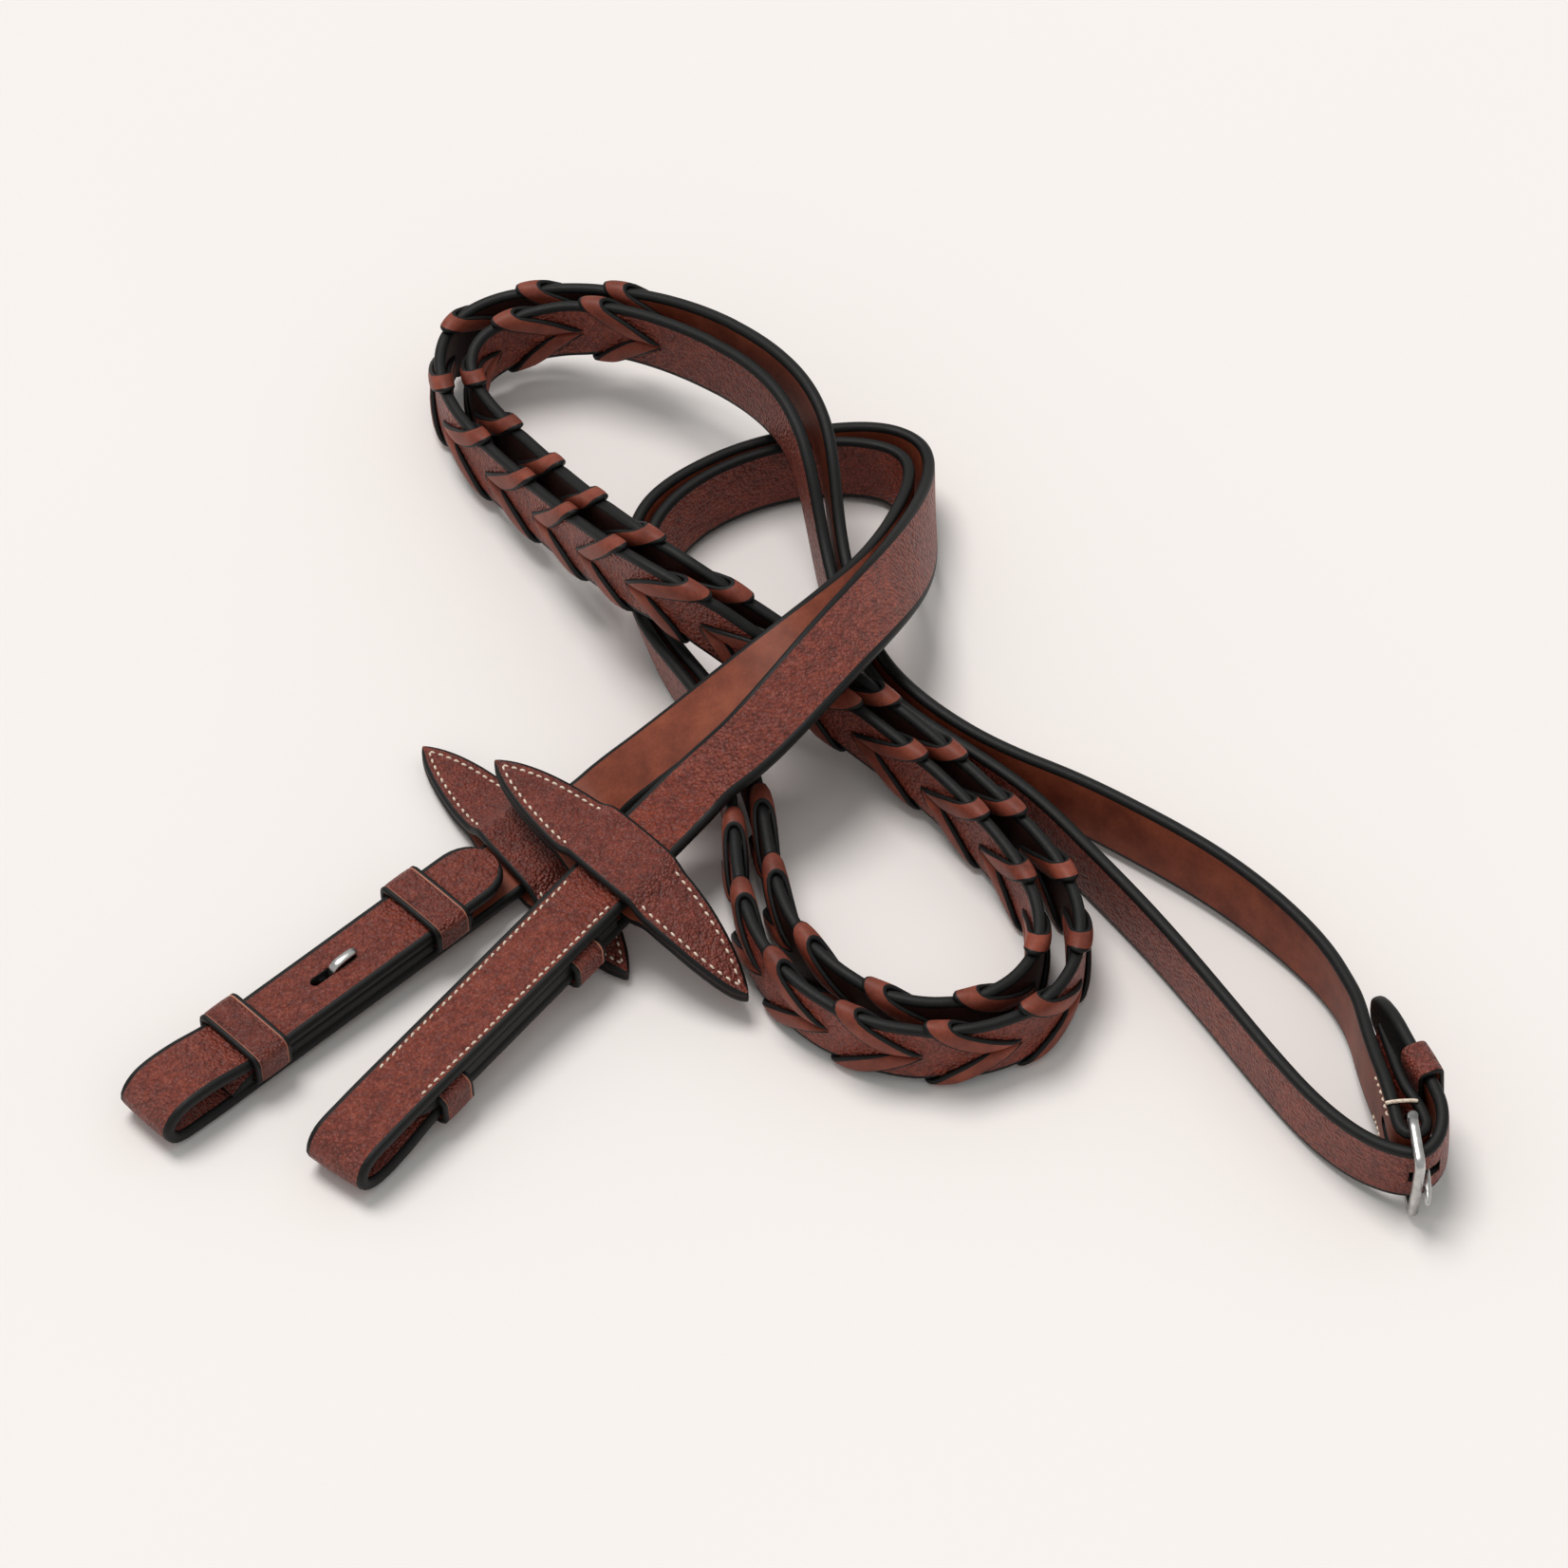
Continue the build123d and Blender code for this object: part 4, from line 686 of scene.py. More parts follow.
def rein_strap(name, rein, grain, lace, end):
    L = rein.length
    st = [0.05, 0.25, 0.7, 1.4, 2.3, 3.4, 4.8, 6.4, 8.0, 9.5]
    x = 10.7
    while x < L - 14.5:
        st.append(x)
        x += 1.25
    st += list(np.linspace(L - 14, L - 2.5, 12)) + [L - 1.4, L - 0.7, L - 0.25, L - 0.02]
    vs = np.array(vertices(lace)) - 13.4
    rings, zones = [], []
    for s in st:
        w = tip_round(s) if s < 9.5 else HALF_W
        top, bot = HALF_T, -HALF_T
        if s < 2.5:
            k = math.sqrt(max(0.0, 1 - (1 - s / 2.5) ** 2))
            top, bot = 0.35 + (top - 0.35) * k, -0.35 + (bot + 0.35) * k
        if end == "point":
            w = min(w, tip_point(L - s))
            if L - s < 2.0:
                k = math.sqrt(max(0.0, 1 - (1 - (L - s) / 2.0) ** 2))
                top, bot = 0.35 + (top - 0.35) * k, -0.35 + (bot + 0.35) * k
        else:
            thick = min(float(np.interp(L - s, [34, 46], [2.7, 3.0])), 1.2 + (L - s) * 0.14)
            bot = top - thick
            bot += 0.5 * max(0.0, 1 - s / 8.0)
        if lace[0] - 20 < s < lace[1] + 20:
            near = np.abs(s - vs).min()
            w += 0.12 - 0.55 * math.exp(-(near / 3.0) ** 2)
            inner = min(abs(s - v - 13.4) for v in vs)
            top -= 0.05
        prof, zone = strap_profile(w, top, bot)
        # the turned end is thinned on its flesh side
        rings.append(rein.pts(np.full(len(prof), s), prof[:, 0], grain * prof[:, 1]))
        zones.append(zone)
    b = Build()
    b.tube(rings, zones[0], cap=1)
    ob = b.object(name, STRAP_MATS)
    # the bit loop is lined: its inner face is grained like the outside
    limit = sum(1 for s in st if s < 124.0) * len(zones[0])
    point = sum(1 for s in st if s < L - 30.0) * len(zones[0]) if end == "point" else 10 ** 9
    laced = [sum(1 for s in st if s < q) * len(zones[0]) for q in (lace[0] - 2.0, lace[1] - 10.0)]
    for p in ob.data.polygons:
        if p.material_index == 2 and max(p.vertices) < limit:
            p.material_index = 0
        # painted shade: on the last 30 mm before the point the flesh face, which sits in shadow, is given the black
        # edge paint
        if p.material_index == 2 and min(p.vertices) > point:
            p.material_index = 1
        # painted shade: along the laced stretch the flesh faces, which face the other rein across a narrow gap, get the
        # near-black brown
        if p.material_index == 2 and laced[0] < min(p.vertices) < laced[1]:
            p.material_index = 3
    return ob


def stadium_cutter(name, origin, x, y, z, lx, ly, lz):
    """Slot-shaped prism centred on origin: lx long with round ends, ly wide, lz deep."""
    ring = []
    for i in range(20):
        q = 2 * math.pi * (i + 0.5) / 20
        px = math.cos(q) * ly / 2 + math.copysign((lx - ly) / 2, math.cos(q))
        ring.append((px, math.sin(q) * ly / 2))
    rings = [[origin + x * p + y * q + z * h for p, q in ring] for h in (-lz / 2, lz / 2)]
    b = Build()
    b.tube(rings, [1] * 20, cap=1)
    return b.object(name, STRAP_MATS)


a_strap = rein_strap("rein_a_leather", A, -1, A_LACE, "turned")
b_strap = rein_strap("rein_b_leather", B, 1, B_LACE, "point")
for ob, rein, side, s in ((a_strap, A, 1, A_STUD), (b_strap, B, -1, B_STUD)):
    c, t, d, n = rein.frames(s)
    boolean_cut(ob, stadium_cutter("slit", c + n * side * 6.25 - t * 1.0, t, d, n, 12.6, 2.3, 4.4))
boolean_cut(a_strap, stadium_cutter("eye_way", HINGE, FX, FZ, FY, 13.0, 3.1, 13.0))
boolean_cut(b_strap, stadium_cutter("tongue_hole", HINGE + FX * 7.5 + FY * 2.3, FX, FZ, FY, 8.2, 3.5, 7.0))
for ob, body, node, rein in ((a_strap, "reins", "rein_a_strap", A), (b_strap, "reins", "rein_b_strap", B)):
    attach(ob, body)
    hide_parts(node)


# ------------------------------------------------------------------ laces
def lace_arms(name, rein, span):
    b = Build()
    face = [(0.9, 0.28, 0.95), (0.1, 0.5, 1.55), (-1.3, 1.15, 1.95), (-3.3, 2.25, 2.14), (-5.8, 3.7, 2.22), (-8.3, 5.25, 2.2),
            (-10.4, 6.6, 2.12), (-12.0, 7.65, 1.86), (-13.0, 8.3, 1.35), (-13.5, 8.62, 0.7), (-13.7, 8.72, 0.0)]
    path = face + [(s, a, -n) for s, a, n in face[-2::-1]]
    path = np.array(path)
    up = []
    for i, (s, a, n) in enumerate(path):
        q = path[min(i + 1, len(path) - 1)] - path[max(i - 1, 0)]
        v = np.array([-q[2], q[1]])  # in (a, n), turned a quarter outward
        v = v / (np.linalg.norm(v) + 1e-9)
        up.append(v if v @ np.array([a, n]) > 0 or i in (0, 1, len(path) - 1, len(path) - 2) else -v)
    for i in (0, 1):
        up[i] = np.array([0.0, 1.0])
        up[-1 - i] = np.array([0.0, -1.0])
    half = np.interp(np.abs(path[:, 0] + 13.7), [0, 1.5, 4.5, 9, 14.6], [2.9, 3.1, 4.0, 4.35, 4.1])
    sec = [(-1.0, -0.55), (-1.03, -0.1), (-0.95, 0.34), (-0.76, 0.5), (-0.36, 0.6), (0.0, 0.63), (0.36, 0.6), (0.76, 0.5), (0.95, 0.34), (1.03, -0.1), (1.0, -0.55)]
    zone = [1, 1, 1, 0, 0, 0, 0, 1, 1, 1, 1]
    for k, s_k in enumerate(vertices(span)):
        for side in (-1, 1):
            wob = 0.35 * math.sin(k * 2.4 + side)
            rings = []
            for i, (s, a, n) in enumerate(path):
                w = half[i] * (1 + 0.04 * math.sin(k * 1.7 + i * 0.6))
                th = 0.62 if 1 < i < len(path) - 2 else 0.45
                ds = np.array([q[0] * w for q in sec])
                dn = np.array([q[1] * th / 0.62 for q in sec])
                ss = s_k + s + wob * min(1.0, abs(s) / 6.0) + ds
                aa = side * (a + up[i][0] * dn)
                nn = n + up[i][1] * dn
                rings.append(rein.pts(ss, np.full(len(sec), 1.0) * aa, nn))
            b.tube(rings, zone, cap=1)
    return b.object(name, [LACE, EDGE])


for nm, rein, span in (("a", A, A_LACE), ("b", B, B_LACE)):
    ob = lace_arms(f"rein_{nm}_lacing", rein, span)
    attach(ob, "reins")
    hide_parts(f"rein_{nm}_lace")


# ------------------------------------------------------------------ stitches
def stitch(b, p, along, up, length=1.45, width=0.58, height=0.36):
    along = along / np.linalg.norm(along)
    up = up - along * (up @ along)
    up /= np.linalg.norm(up)
    across = np.cross(up, along)
    rings = []
    for x, k in ((-0.5, 0.25), (-0.38, 0.75), (-0.12, 1.0), (0.12, 1.0), (0.38, 0.75), (0.5, 0.25)):
        drop = -0.32 * (abs(x) / 0.5) ** 2
        rings.append([p + along * x * length + across * math.cos(q) * width / 2 * k + up * (math.sin(q) * height * k * (1 if math.sin(q) > 0 else 0.5) + drop)
                      for q in (0, 1.047, 2.094, 3.1416, 4.188, 5.235)])
    b.tube(rings, [0] * 6)


def row_on_strap(b, rein, s0, s1, a, n, pitch=2.05, slant=0.16):
    count = int(round((s1 - s0) / pitch))
    for i in range(count + 1):
        s = s0 + (s1 - s0) * i / count
        c, t, d, nn = rein.frames(s)
        sg = 1 if n > 0 else -1
        j = 0.12 * math.sin(i * 12.9898 + a)
        stitch(b, c + d * (a + j * 0.5) + nn * (n + 0.02 * sg), t + d * slant * (1 if a > 0 else -1), nn * sg, length=1.4 + 0.15 * math.sin(i * 4.1))


# ------------------------------------------------------------------ billet linings
def lining(name, rein, side, s0, s1):
    """Stitched layer under the turned-back end; thin nose at the loop, square end under the stop."""
    b = Build()
    rings = []
    lo = 1.46
    prof_a = 7.75
    for s in np.concatenate([[s0 - 1.6, s0 - 1.2, s0 - 0.6, s0], np.arange(s0 + 1.5, s1 - 0.6, 1.5), [s1 - 0.5, s1 - 0.12, s1]]):
        hi = 4.66
        if s < s0 + 4:
            hi = lo + (4.66 - lo) * max(0.12, (s - (s0 - 1.7)) / 5.7) ** 0.6
        w = prof_a - (0.25 if s > s1 - 0.2 or s < s0 - 1.3 else 0.0)
        m = (lo + hi) / 2
        h = (hi - lo) / 2
        pts = [(-w + 0.5, lo), (0, lo), (w - 0.5, lo), (w - 0.12, lo + 0.3 * h), (w - 0.22, m), (w - 0.02, hi - 0.35 * h), (w - 0.45, hi), (0, hi), (-w + 0.45, hi),
               (-w + 0.02, hi - 0.35 * h), (-w + 0.22, m), (-w + 0.12, lo + 0.3 * h)]
        rings.append(rein.pts(np.full(12, s), np.array([p[0] for p in pts]), side * np.array([p[1] for p in pts])))
    b.tube(rings, [1, 1, 1, 1, 1, 1, 0, 0, 1, 1, 1, 1], cap=1)
    return b.object(name, [FIT, EDGE])


def keeper_band(name, rein, side, s, outside, inner=1.75, half_in=8.35, thick=1.4, width=KEEPER_W):
    """Leather band with a rounded-square path round the turned-back layer and eased, black edges."""
    c, t, d, n = rein.frames(s)
    n = n * side
    hi, lo = outside - thick / 2, inner + thick / 2 - 0.15
    w = half_in + thick / 2
    path = []
    r = 1.5
    for cx, cy, a0 in ((w - r, hi - r, 0), (-w + r, hi - r, 90), (-w + r, lo + r, 180), (w - r, lo + r, 270)):
        for k in range(6):
            q = math.radians(a0 + 90 * k / 5)
            path.append((cx + r * math.cos(q), cy + r * math.sin(q), math.cos(q), math.sin(q)))
    full = []
    for i in range(len(path)):
        full.append(path[i])
        q = path[(i + 1) % len(path)]
        gap = math.hypot(q[0] - path[i][0], q[1] - path[i][1])
        m = int(gap // 2.5)
        for k in range(1, m + 1):
            f = k / (m + 1)
            full.append((path[i][0] + (q[0] - path[i][0]) * f, path[i][1] + (q[1] - path[i][1]) * f, q[2], q[3]))
    hw, ht = width / 2, thick / 2
    sec = [(-hw + 0.35, ht), (-hw + 1.0, ht + 0.02), (-hw + 1.25, ht - 0.16), (-hw + 1.5, ht + 0.02), (-hw / 3, ht + 0.1), (hw / 3, ht + 0.1), (hw - 1.5, ht + 0.02), (hw - 1.25, ht - 0.16),
           (hw - 1.0, ht + 0.02), (hw - 0.35, ht), (hw, ht * 0.45), (hw, -ht * 0.45), (hw - 0.35, -ht), (-hw + 0.35, -ht), (-hw, -ht * 0.45), (-hw, ht * 0.45)]
    # zone 3 is the painted highlight on the slope into the keeper's creased line
    zone = [1, 3, 0, 0, 0, 0, 0, 3, 1] + [1, 1, 1, 2, 1, 1, 1]
    rings = []
    for a, m, ca, sa in full:
        lift = 0.18 if sa > 0.5 else 0.0
        rings.append([c + t * x + d * (a + ca * h) + n * (m + sa * (h + lift * (1 - (a / w) ** 2))) for x, h in sec])
    b = Build()
    b.tube(rings, zone, closed=True)
    return b.object(name, [FIT, EDGE, FLESH, KEEPER_LINE_HIGHLIGHT])


def hook_stud(name, rein, side, s):
    c, t, d, n = rein.frames(s)
    n = n * side
    b = Build()
    base = c + n * 4.42
    for rx, ry, z0, z1 in ((4.3, 3.3, 0.0, 0.32),):
        rings = [[base + t * math.cos(q) * rx * k + d * math.sin(q) * ry * k + n * z for q in np.linspace(0, 2 * math.pi, 28, endpoint=False)]
                 for z, k in ((z0, 0.96), (z0 + 0.05, 1.0), (z1 - 0.08, 1.0), (z1, 0.94))]
        b.tube(rings, [0] * 28)
    # strip that rises through the slit and bends over towards the billet's tip
    line = [(-1.7, 0.1), (-1.6, 1.4), (-1.45, 2.6), (-1.0, 3.45), (-0.1, 3.98), (1.2, 4.2), (2.8, 4.28), (4.2, 4.22), (5.3, 4.0)]
    wid = [0.95, 0.95, 1.0, 1.05, 1.05, 1.05, 1.0, 0.95, 0.8]
    rings = []
    for i, (x, z) in enumerate(line):
        q = np.array(line[min(i + 1, len(line) - 1)]) - np.array(line[max(i - 1, 0)])
        q = q / np.linalg.norm(q)
        nx, nz = q[1], -q[0]
        w = wid[i]
        sec = [(-w + 0.2, -0.45), (w - 0.2, -0.45), (w, -0.25), (w, 0.25), (w - 0.2, 0.45), (-w + 0.2, 0.45), (-w, 0.25), (-w, -0.25)]
        rings.append([c + n * (4.6 + z) + t * x + d * y + (t * nx + n * nz) * h for y, h in sec])
    b.tube(rings, [0] * 8)
    return b.object(name, [STEEL])


STITCH = Build()
for nm, rein, side, lin, kps, sd in (("a", A, 1, A_LINING, A_KEEPERS, A_STUD), ("b", B, -1, B_LINING, B_KEEPERS, B_STUD)):
    ob = lining(f"rein_{nm}_lining", rein, side, *lin)
    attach(ob, "reins"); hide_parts(f"rein_{nm}_billet_lining")
    ob = keeper_band(f"rein_{nm}_keeper_low", rein, side, kps[0], 10.0)
    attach(ob, "reins"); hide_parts(f"rein_{nm}_lower_keeper")
    ob = keeper_band(f"rein_{nm}_keeper_top", rein, side, kps[1], 9.3)
    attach(ob, "reins"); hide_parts(f"rein_{nm}_upper_keeper")
    ob = hook_stud(f"rein_{nm}_stud", rein, side, sd)
    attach(ob, "reins"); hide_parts(f"rein_{nm}_hook_stud")
    for a in (-5.9, 5.9):
        row_on_strap(STITCH, rein, lin[0] + 1.5, lin[1] - 1.0, a, -side * 1.5)
        row_on_strap(STITCH, rein, lin[0] + 3.0, lin[1] - 1.0, a, side * 4.66)


# ------------------------------------------------------------------ rein stops
def stop_half(u):
    return STOP_W / 2 * max(0.0, 1 - (abs(u) / (STOP_LEN / 2)) ** 2.4) ** 0.7


def smooth_interp(x, xs, ys):
    f = lambda q: float(np.interp(q, xs, ys))
    return (f(x - 1.6) + 2 * f(x - 0.8) + 3 * f(x) + 2 * f(x + 0.8) + f(x + 1.6)) / 9.0


A_DROOP = ([-40, -20, -10, 0, 10, 20, 40], [-2.2, -1.8, 0, 0, 0, -1.8, -2.2])
B_DROOP = ([-40, -20, 10, 16, 22, 30, 38], [0.5, 0.2, 0, -0.9, -2.5, -5.6, -9.2])
ROOM = HALF_T + STOP_GAP


def stop_lift(u):
    return float(np.interp(abs(u), [0, STOP_CH, STOP_CH + 3.6, 60], [ROOM, ROOM, 0.02, 0.02]))


def stop_piece(name, rein, s, side, droop, lie, body):
    shift, skew, bow = lie
    c, t, d, n = rein.frames(s)
    axis = -d
    us = np.concatenate([[-39.85, -39.6, -39.2, -38.6], np.arange(-37.8, 37.9, 0.9), [38.6, 39.2, 39.6, 39.85]])
    b = Build()
    rings = []
    K = 17
    for u in us:
        v = max(stop_half(u), 0.25)
        base = c + axis * u + t * (shift + skew * u + bow * u * u) + n * smooth_interp(u, *droop)
        lo = smooth_interp(u, [-60, -STOP_CH - 4.4, -STOP_CH - 0.9, STOP_CH + 0.9, STOP_CH + 4.4, 60], [0.02, 0.02, ROOM, ROOM, 0.02, 0.02])
        lo = max(lo, stop_lift(u) - 0.25) if abs(u) < STOP_CH + 1 else max(lo, 0.02)
        th = STOP_T * (1 - 0.25 * (abs(u) / 40) ** 6)
        e = min(0.85, v * 0.5)
        sec = []
        for x in np.linspace(-(v - e), v - e, K):
            crown = 0.18 * (1 - (abs(x) / max(v, 1e-6)) ** 2)
            inset = v - abs(x)
            groove = -0.16 * math.exp(-((inset - 2.1) / 0.45) ** 2) if abs(u) > 10.5 and v > 2.6 else 0.0
            sec.append((x, lo + th + crown * 0.5 + groove - 0.1))
        right = [(v - e * 0.3, lo + th * 0.9), (v, lo + th * 0.62), (v, lo + th * 0.3), (v - e * 0.25, lo + 0.02)]
        left = [(-v + e * 0.25, lo + 0.02), (-v, lo + th * 0.3), (-v, lo + th * 0.62), (-v + e * 0.3, lo + th * 0.9)]
        sec = sec + right + [(0.0, lo)] + left
        rings.append([base + t * x + n * side * h for x, h in sec])
    zone = [0] * (K - 1) + [1] * 4 + [2, 2] + [1] * 4
    b.tube(rings, zone, cap=1)
    ob = b.object(name, [FIT, EDGE, FLESH])
    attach(ob, body)
    # stitches follow the outline, inset, and stop beside the passage
    sb = Build()
    for sgn in (-1, 1):
        for end in (-1, 1):
            line = []
            for u in np.arange(12.0, 38.2, 0.05):
                v = stop_half(u) - 2.1
                if v < 0.1:
                    break
                line.append((end * u, sgn * v))
            line = np.array(line)
            if sgn == 1:
                tipu = line[-1, 0]
            cum = np.concatenate([[0], np.cumsum(np.linalg.norm(np.diff(line, axis=0), axis=1))])
            m = int(cum[-1] // 2.15)
            for i in range(m + 1):
                q = (i + 0.25) * cum[-1] / (m + 0.5)
                u = float(np.interp(q, cum, line[:, 0]))
                v = float(np.interp(q, cum, line[:, 1]))
                u2 = float(np.interp(q + 0.3, cum, line[:, 0]))
                v2 = float(np.interp(q + 0.3, cum, line[:, 1]))

                def at(uu, vv):
                    lo = smooth_interp(uu, [-60, -STOP_CH - 4.4, -STOP_CH - 0.9, STOP_CH + 0.9, STOP_CH + 4.4, 60], [0.02, 0.02, ROOM, ROOM, 0.02, 0.02])
                    th = STOP_T * (1 - 0.25 * (abs(uu) / 40) ** 6)
                    return c + axis * uu + t * (shift + skew * uu + bow * uu * uu + vv) + n * (smooth_interp(uu, *droop) + side * (lo + th - 0.1 - 0.02))
                p, p2 = at(u, v), at(u2, v2)
                along = p2 - p
                if np.linalg.norm(along) < 1e-4:
                    continue
                along = along / np.linalg.norm(along) + t * 0.14 * sgn * end
                stitch(sb, p, along, n * side, length=1.5, width=0.62)
    so = sb.object(name + "_stitches", [THREAD])
    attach(so, body)
    return ob


for nm, rein, s, droop, lie in (("a", A, A_STOP, A_DROOP, STOP_A_LIE), ("b", B, B_STOP, B_DROOP, STOP_B_LIE)):
    for part, side in (("top", 1), ("under", -1)):
        ob = stop_piece(f"stop_{nm}_{part}", rein, s, side, droop, lie, f"rein_{nm}_stop")
        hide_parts(f"rein_{nm}_stop_{part}")


# ------------------------------------------------------------------ centre buckle
def wire_loop(name, pts, closed, r1, r2, up, segs=12, square=0.6):
    """Tube of rounded-square section along points; up is the section's second axis."""
    pts = np.array(pts)
    R = len(pts)
    rings = []
    for i in range(R):
        a = pts[(i - 1) % R] if closed or i else pts[0]
        z = pts[(i + 1) % R] if closed or i < R - 1 else pts[-1]
        t = z - a
        t = t / np.linalg.norm(t)
        u = up - t * (up @ t)
        u /= np.linalg.norm(u)
        w = np.cross(u, t)
        ring = []
        for k in range(segs):
            q = 2 * math.pi * (k + 0.5) / segs
            cx, sy = math.cos(q), math.sin(q)
            p = square
            cx = math.copysign(abs(cx) ** p, cx)
            sy = math.copysign(abs(sy) ** p, sy)
            ring.append(pts[i] + w * cx * r1 + u * sy * r2)
        rings.append(ring)
    return rings


def rounded_rect(x0, x1, z0, z1, r, step=5):
    out = []
    for cx, cz, a0 in ((x1 - r, z1 - r, 0), (x0 + r, z1 - r, 90), (x0 + r, z0 + r, 180), (x1 - r, z0 + r, 270)):
        for k in range(step + 1):
            q = math.radians(a0 + 90 * k / step)
            out.append((cx + r * math.cos(q), cz + r * math.sin(q)))
    return out


hh = FRAME_H / 2 - FRAME_T / 2
fr = Build()
# three sides: from the hinge bar's foot, round the front bar, to its head
side_pts = []
for x, z in [(-0.2, -hh), (3.0, -hh), (6.5, -hh)]:
    side_pts.append((x, z))
for k in range(7):
    q = math.radians(-90 + 90 * k / 6)
    side_pts.append((FRAME_L - 1.7 + 1.7 * math.cos(q), -hh + 1.7 + 1.7 * math.sin(q)))
for z in (-4.5, 0.0, 4.5):
    side_pts.append((FRAME_L, z))
for k in range(7):
    q = math.radians(0 + 90 * k / 6)
    side_pts.append((FRAME_L - 1.7 + 1.7 * math.cos(q), hh - 1.7 + 1.7 * math.sin(q)))
for x, z in [(6.5, hh), (3.0, hh), (-0.2, hh)]:
    side_pts.append((x, z))
fr.tube(wire_loop("w", [HINGE + FX * x + FZ * z for x, z in side_pts], False, 1.05, 1.1, FY, square=0.55), [0] * 12)
fr.tube(wire_loop("h", [HINGE + FZ * z for z in np.linspace(-hh - 0.9, hh + 0.9, 7)], False, HINGE_R, HINGE_R, FY, segs=20, square=1.0), [0] * 20)
ob = fr.object("buckle_frame_steel", [STEEL])
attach(ob, "centre_buckle"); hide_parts("buckle_frame")

tg = Build()
eye = [HINGE + FX * math.cos(q) * 2.0 + FY * math.sin(q) * 2.0 for q in np.linspace(0, 2 * math.pi, 28, endpoint=False)]
tg.tube(wire_loop("e", eye, True, 0.52, 1.0, FZ, square=0.7), [0] * 12, closed=True)
pin = []
wid = []
for x, y, w in ((1.5, 2.25, 0.9), (3.5, 2.45, 0.92), (6.5, 2.55, 0.92), (9.5, 2.5, 0.9), (12.0, 2.35, 0.85), (14.0, 2.1, 0.75), (15.4, 1.9, 0.5), (15.9, 1.85, 0.2)):
    pin.append(HINGE + FX * x + FY * y)
    wid.append(w)
rings = wire_loop("p", pin, False, 1.0, 1.0, FZ, segs=14, square=0.75)
rings = [[pin[i] + (np.array(p) - pin[i]) * wid[i] for p in ring] for i, ring in enumerate(rings)]
tg.tube(rings, [0] * 14)
ob = tg.object("buckle_tongue_steel", [STEEL])
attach(ob, "buckle_tongue"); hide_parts("buckle_tongue")


def ring_keeper(name, rein, s, half_len):
    c, t, d, n = rein.frames(s)
    w, hgt, r = 8.35 + 0.62, 1.85 + 0.6, 1.3
    path = []
    for a, m in rounded_rect(-w, w, -hgt + 0.1, hgt, r):
        path.append((a, m))
    P = np.array(path)
    full = []
    for i in range(len(P)):
        q = P[(i + 1) % len(P)]
        full.append(P[i])
        g = np.linalg.norm(q - P[i])
        m = int(g // 2.5)
        for k in range(1, m + 1):
            full.append(P[i] + (q - P[i]) * k / (m + 1))
    F = np.array(full)
    rings = []
    for i in range(len(F)):
        tt = F[(i + 1) % len(F)] - F[i - 1]
        tt /= np.linalg.norm(tt) + 1e-9
        o = np.array([tt[1], -tt[0]])
        if o @ F[i] < 0:
            o = -o
        hw, ht = half_len, 0.6
        sec = [(-hw + 0.3, ht), (-hw + 1.1, ht + 0.05), (0, ht + 0.12), (hw - 1.1, ht + 0.05), (hw - 0.3, ht), (hw, ht * 0.4), (hw, -ht * 0.4), (hw - 0.3, -ht), (-hw + 0.3, -ht), (-hw, -ht * 0.4), (-hw, ht * 0.4)]
        rings.append([c + t * x + d * (F[i][0] + o[0] * h) + n * (F[i][1] + o[1] * h) for x, h in sec])
    b = Build()
    b.tube(rings, [0] * 4 + [1, 1, 1, 2, 1, 1, 1], closed=True)
    return b.object(name, [FIT, EDGE, FLESH])


ob = ring_keeper("buckle_end_keeper", B, B.length - 25.0, 4.5)
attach(ob, "reins"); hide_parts("buckle_keeper")

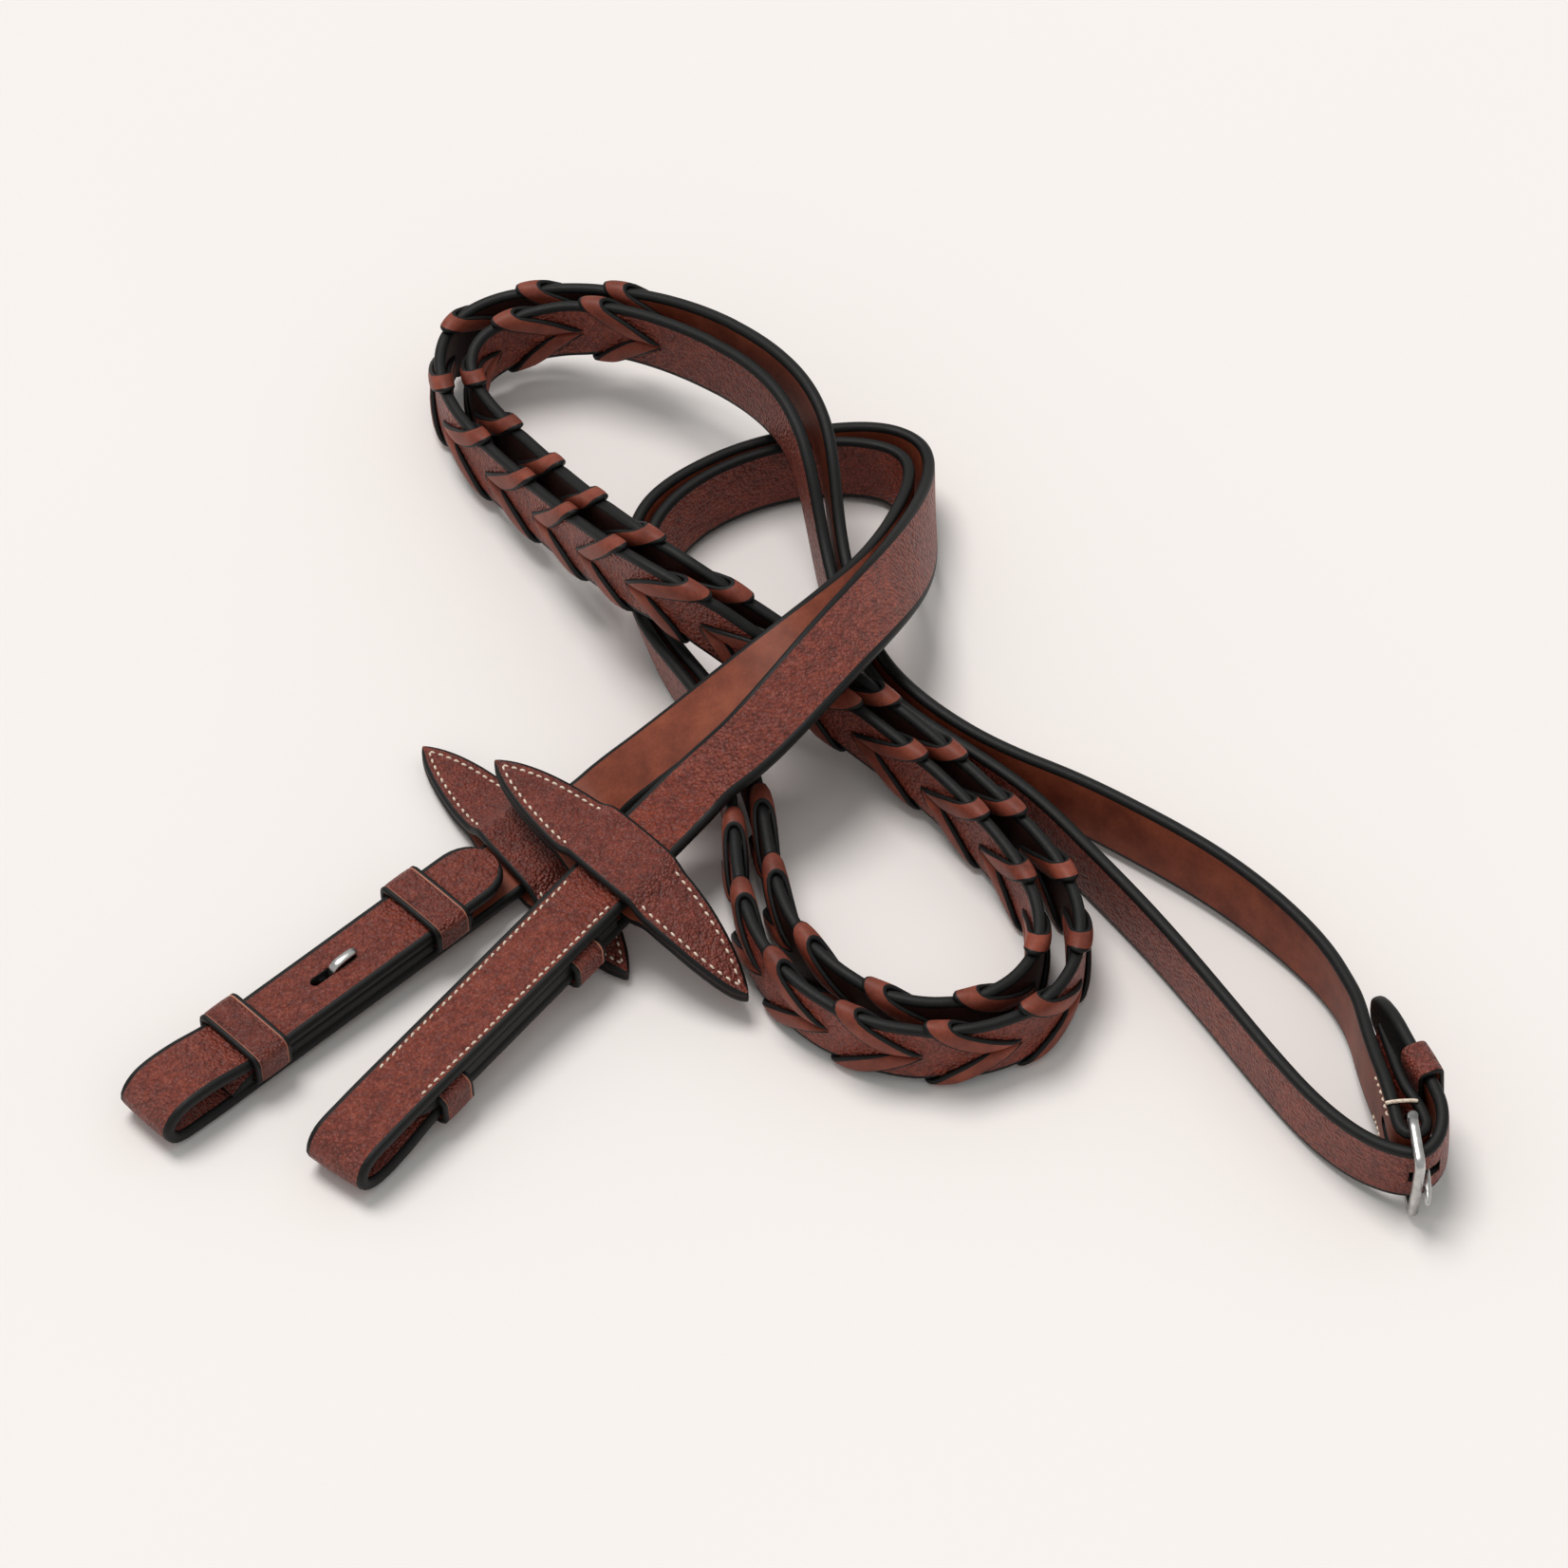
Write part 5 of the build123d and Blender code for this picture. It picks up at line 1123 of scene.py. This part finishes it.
# short rows that hold the fold round the hinge bar
L_fold = A.length
for a in (-5.8, 5.8):
    row_on_strap(STITCH, A, L_fold - 50.0, L_fold - 40.5, a, 1.5)
ob = STITCH.object("billet_stitching", [THREAD])
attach(ob, "reins")
st2 = Build()
c, t, d, n = A.frames(L_fold - 41.5)
up_side = 1.0 if d[2] > 0 else -1.0
arc_pts = [c + d * up_side * (7.95 + 0.5 * math.cos(q)) + n * (-1.65 + 3.35 * math.sin(q)) for q in np.linspace(-1.45, 1.45, 14)]
st2.tube(wire_loop("s", arc_pts, False, 0.42, 0.42, t, segs=8, square=1.0), [0] * 8)
ob = st2.object("fold_stitch", [THREAD])
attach(ob, "reins")

# ------------------------------------------------------------------ floor, light, camera
me = bpy.data.meshes.new("floor")
me.from_pydata([(-4, -4, -0.0003), (4, -4, -0.0003), (4, 4, -0.0003), (-4, 4, -0.0003)], [], [(0, 1, 2, 3)])
floor = bpy.data.objects.new("floor", me)
bpy.context.scene.collection.objects.link(floor)
fm, fnt, fbs, fvec = new_mat("pale_floor")
fn = noise(fnt, fvec, 0.004, 2.0)
fnt.links.new(ramp(fnt, fn.outputs["Fac"], [(0.3, (0.914, 0.872, 0.848, 1)), (0.7, (0.924, 0.882, 0.858, 1))]), fbs.inputs["Base Color"])
fbs.inputs["Roughness"].default_value = 0.9
fbs.inputs["Specular IOR Level"].default_value = 0.1
me.materials.append(fm)

world = bpy.data.worlds.new("studio")
world.use_nodes = True
world.node_tree.nodes["Background"].inputs[0].default_value = (0.972, 1.0, 0.985, 1)
world.node_tree.nodes["Background"].inputs[1].default_value = 0.52
bpy.context.scene.world = world


sun = bpy.data.lights.new("key", "SUN")
sun.energy = 1.78
sun.angle = 0.5
sun.color = (1.0, 0.965, 0.95)
so = bpy.data.objects.new("key", sun)
bpy.context.scene.collection.objects.link(so)
so.rotation_euler = (math.radians(-17.0), math.radians(-15.0), 0.0)

cam = bpy.data.cameras.new("camera")
cam.sensor_width = 36.0
cam.lens = 36.0 * 6912.0 / 1652.0
cam.clip_start, cam.clip_end = 0.05, 20.0
cam.dof.use_dof = False
co = bpy.data.objects.new("camera", cam)
bpy.context.scene.collection.objects.link(co)
co.location = (0.00042, -0.98430, 1.08834)
co.rotation_euler = (math.radians(42.0), 0.0, 0.0)
bpy.context.scene.camera = co
bpy.context.scene.view_settings.view_transform = "Standard"
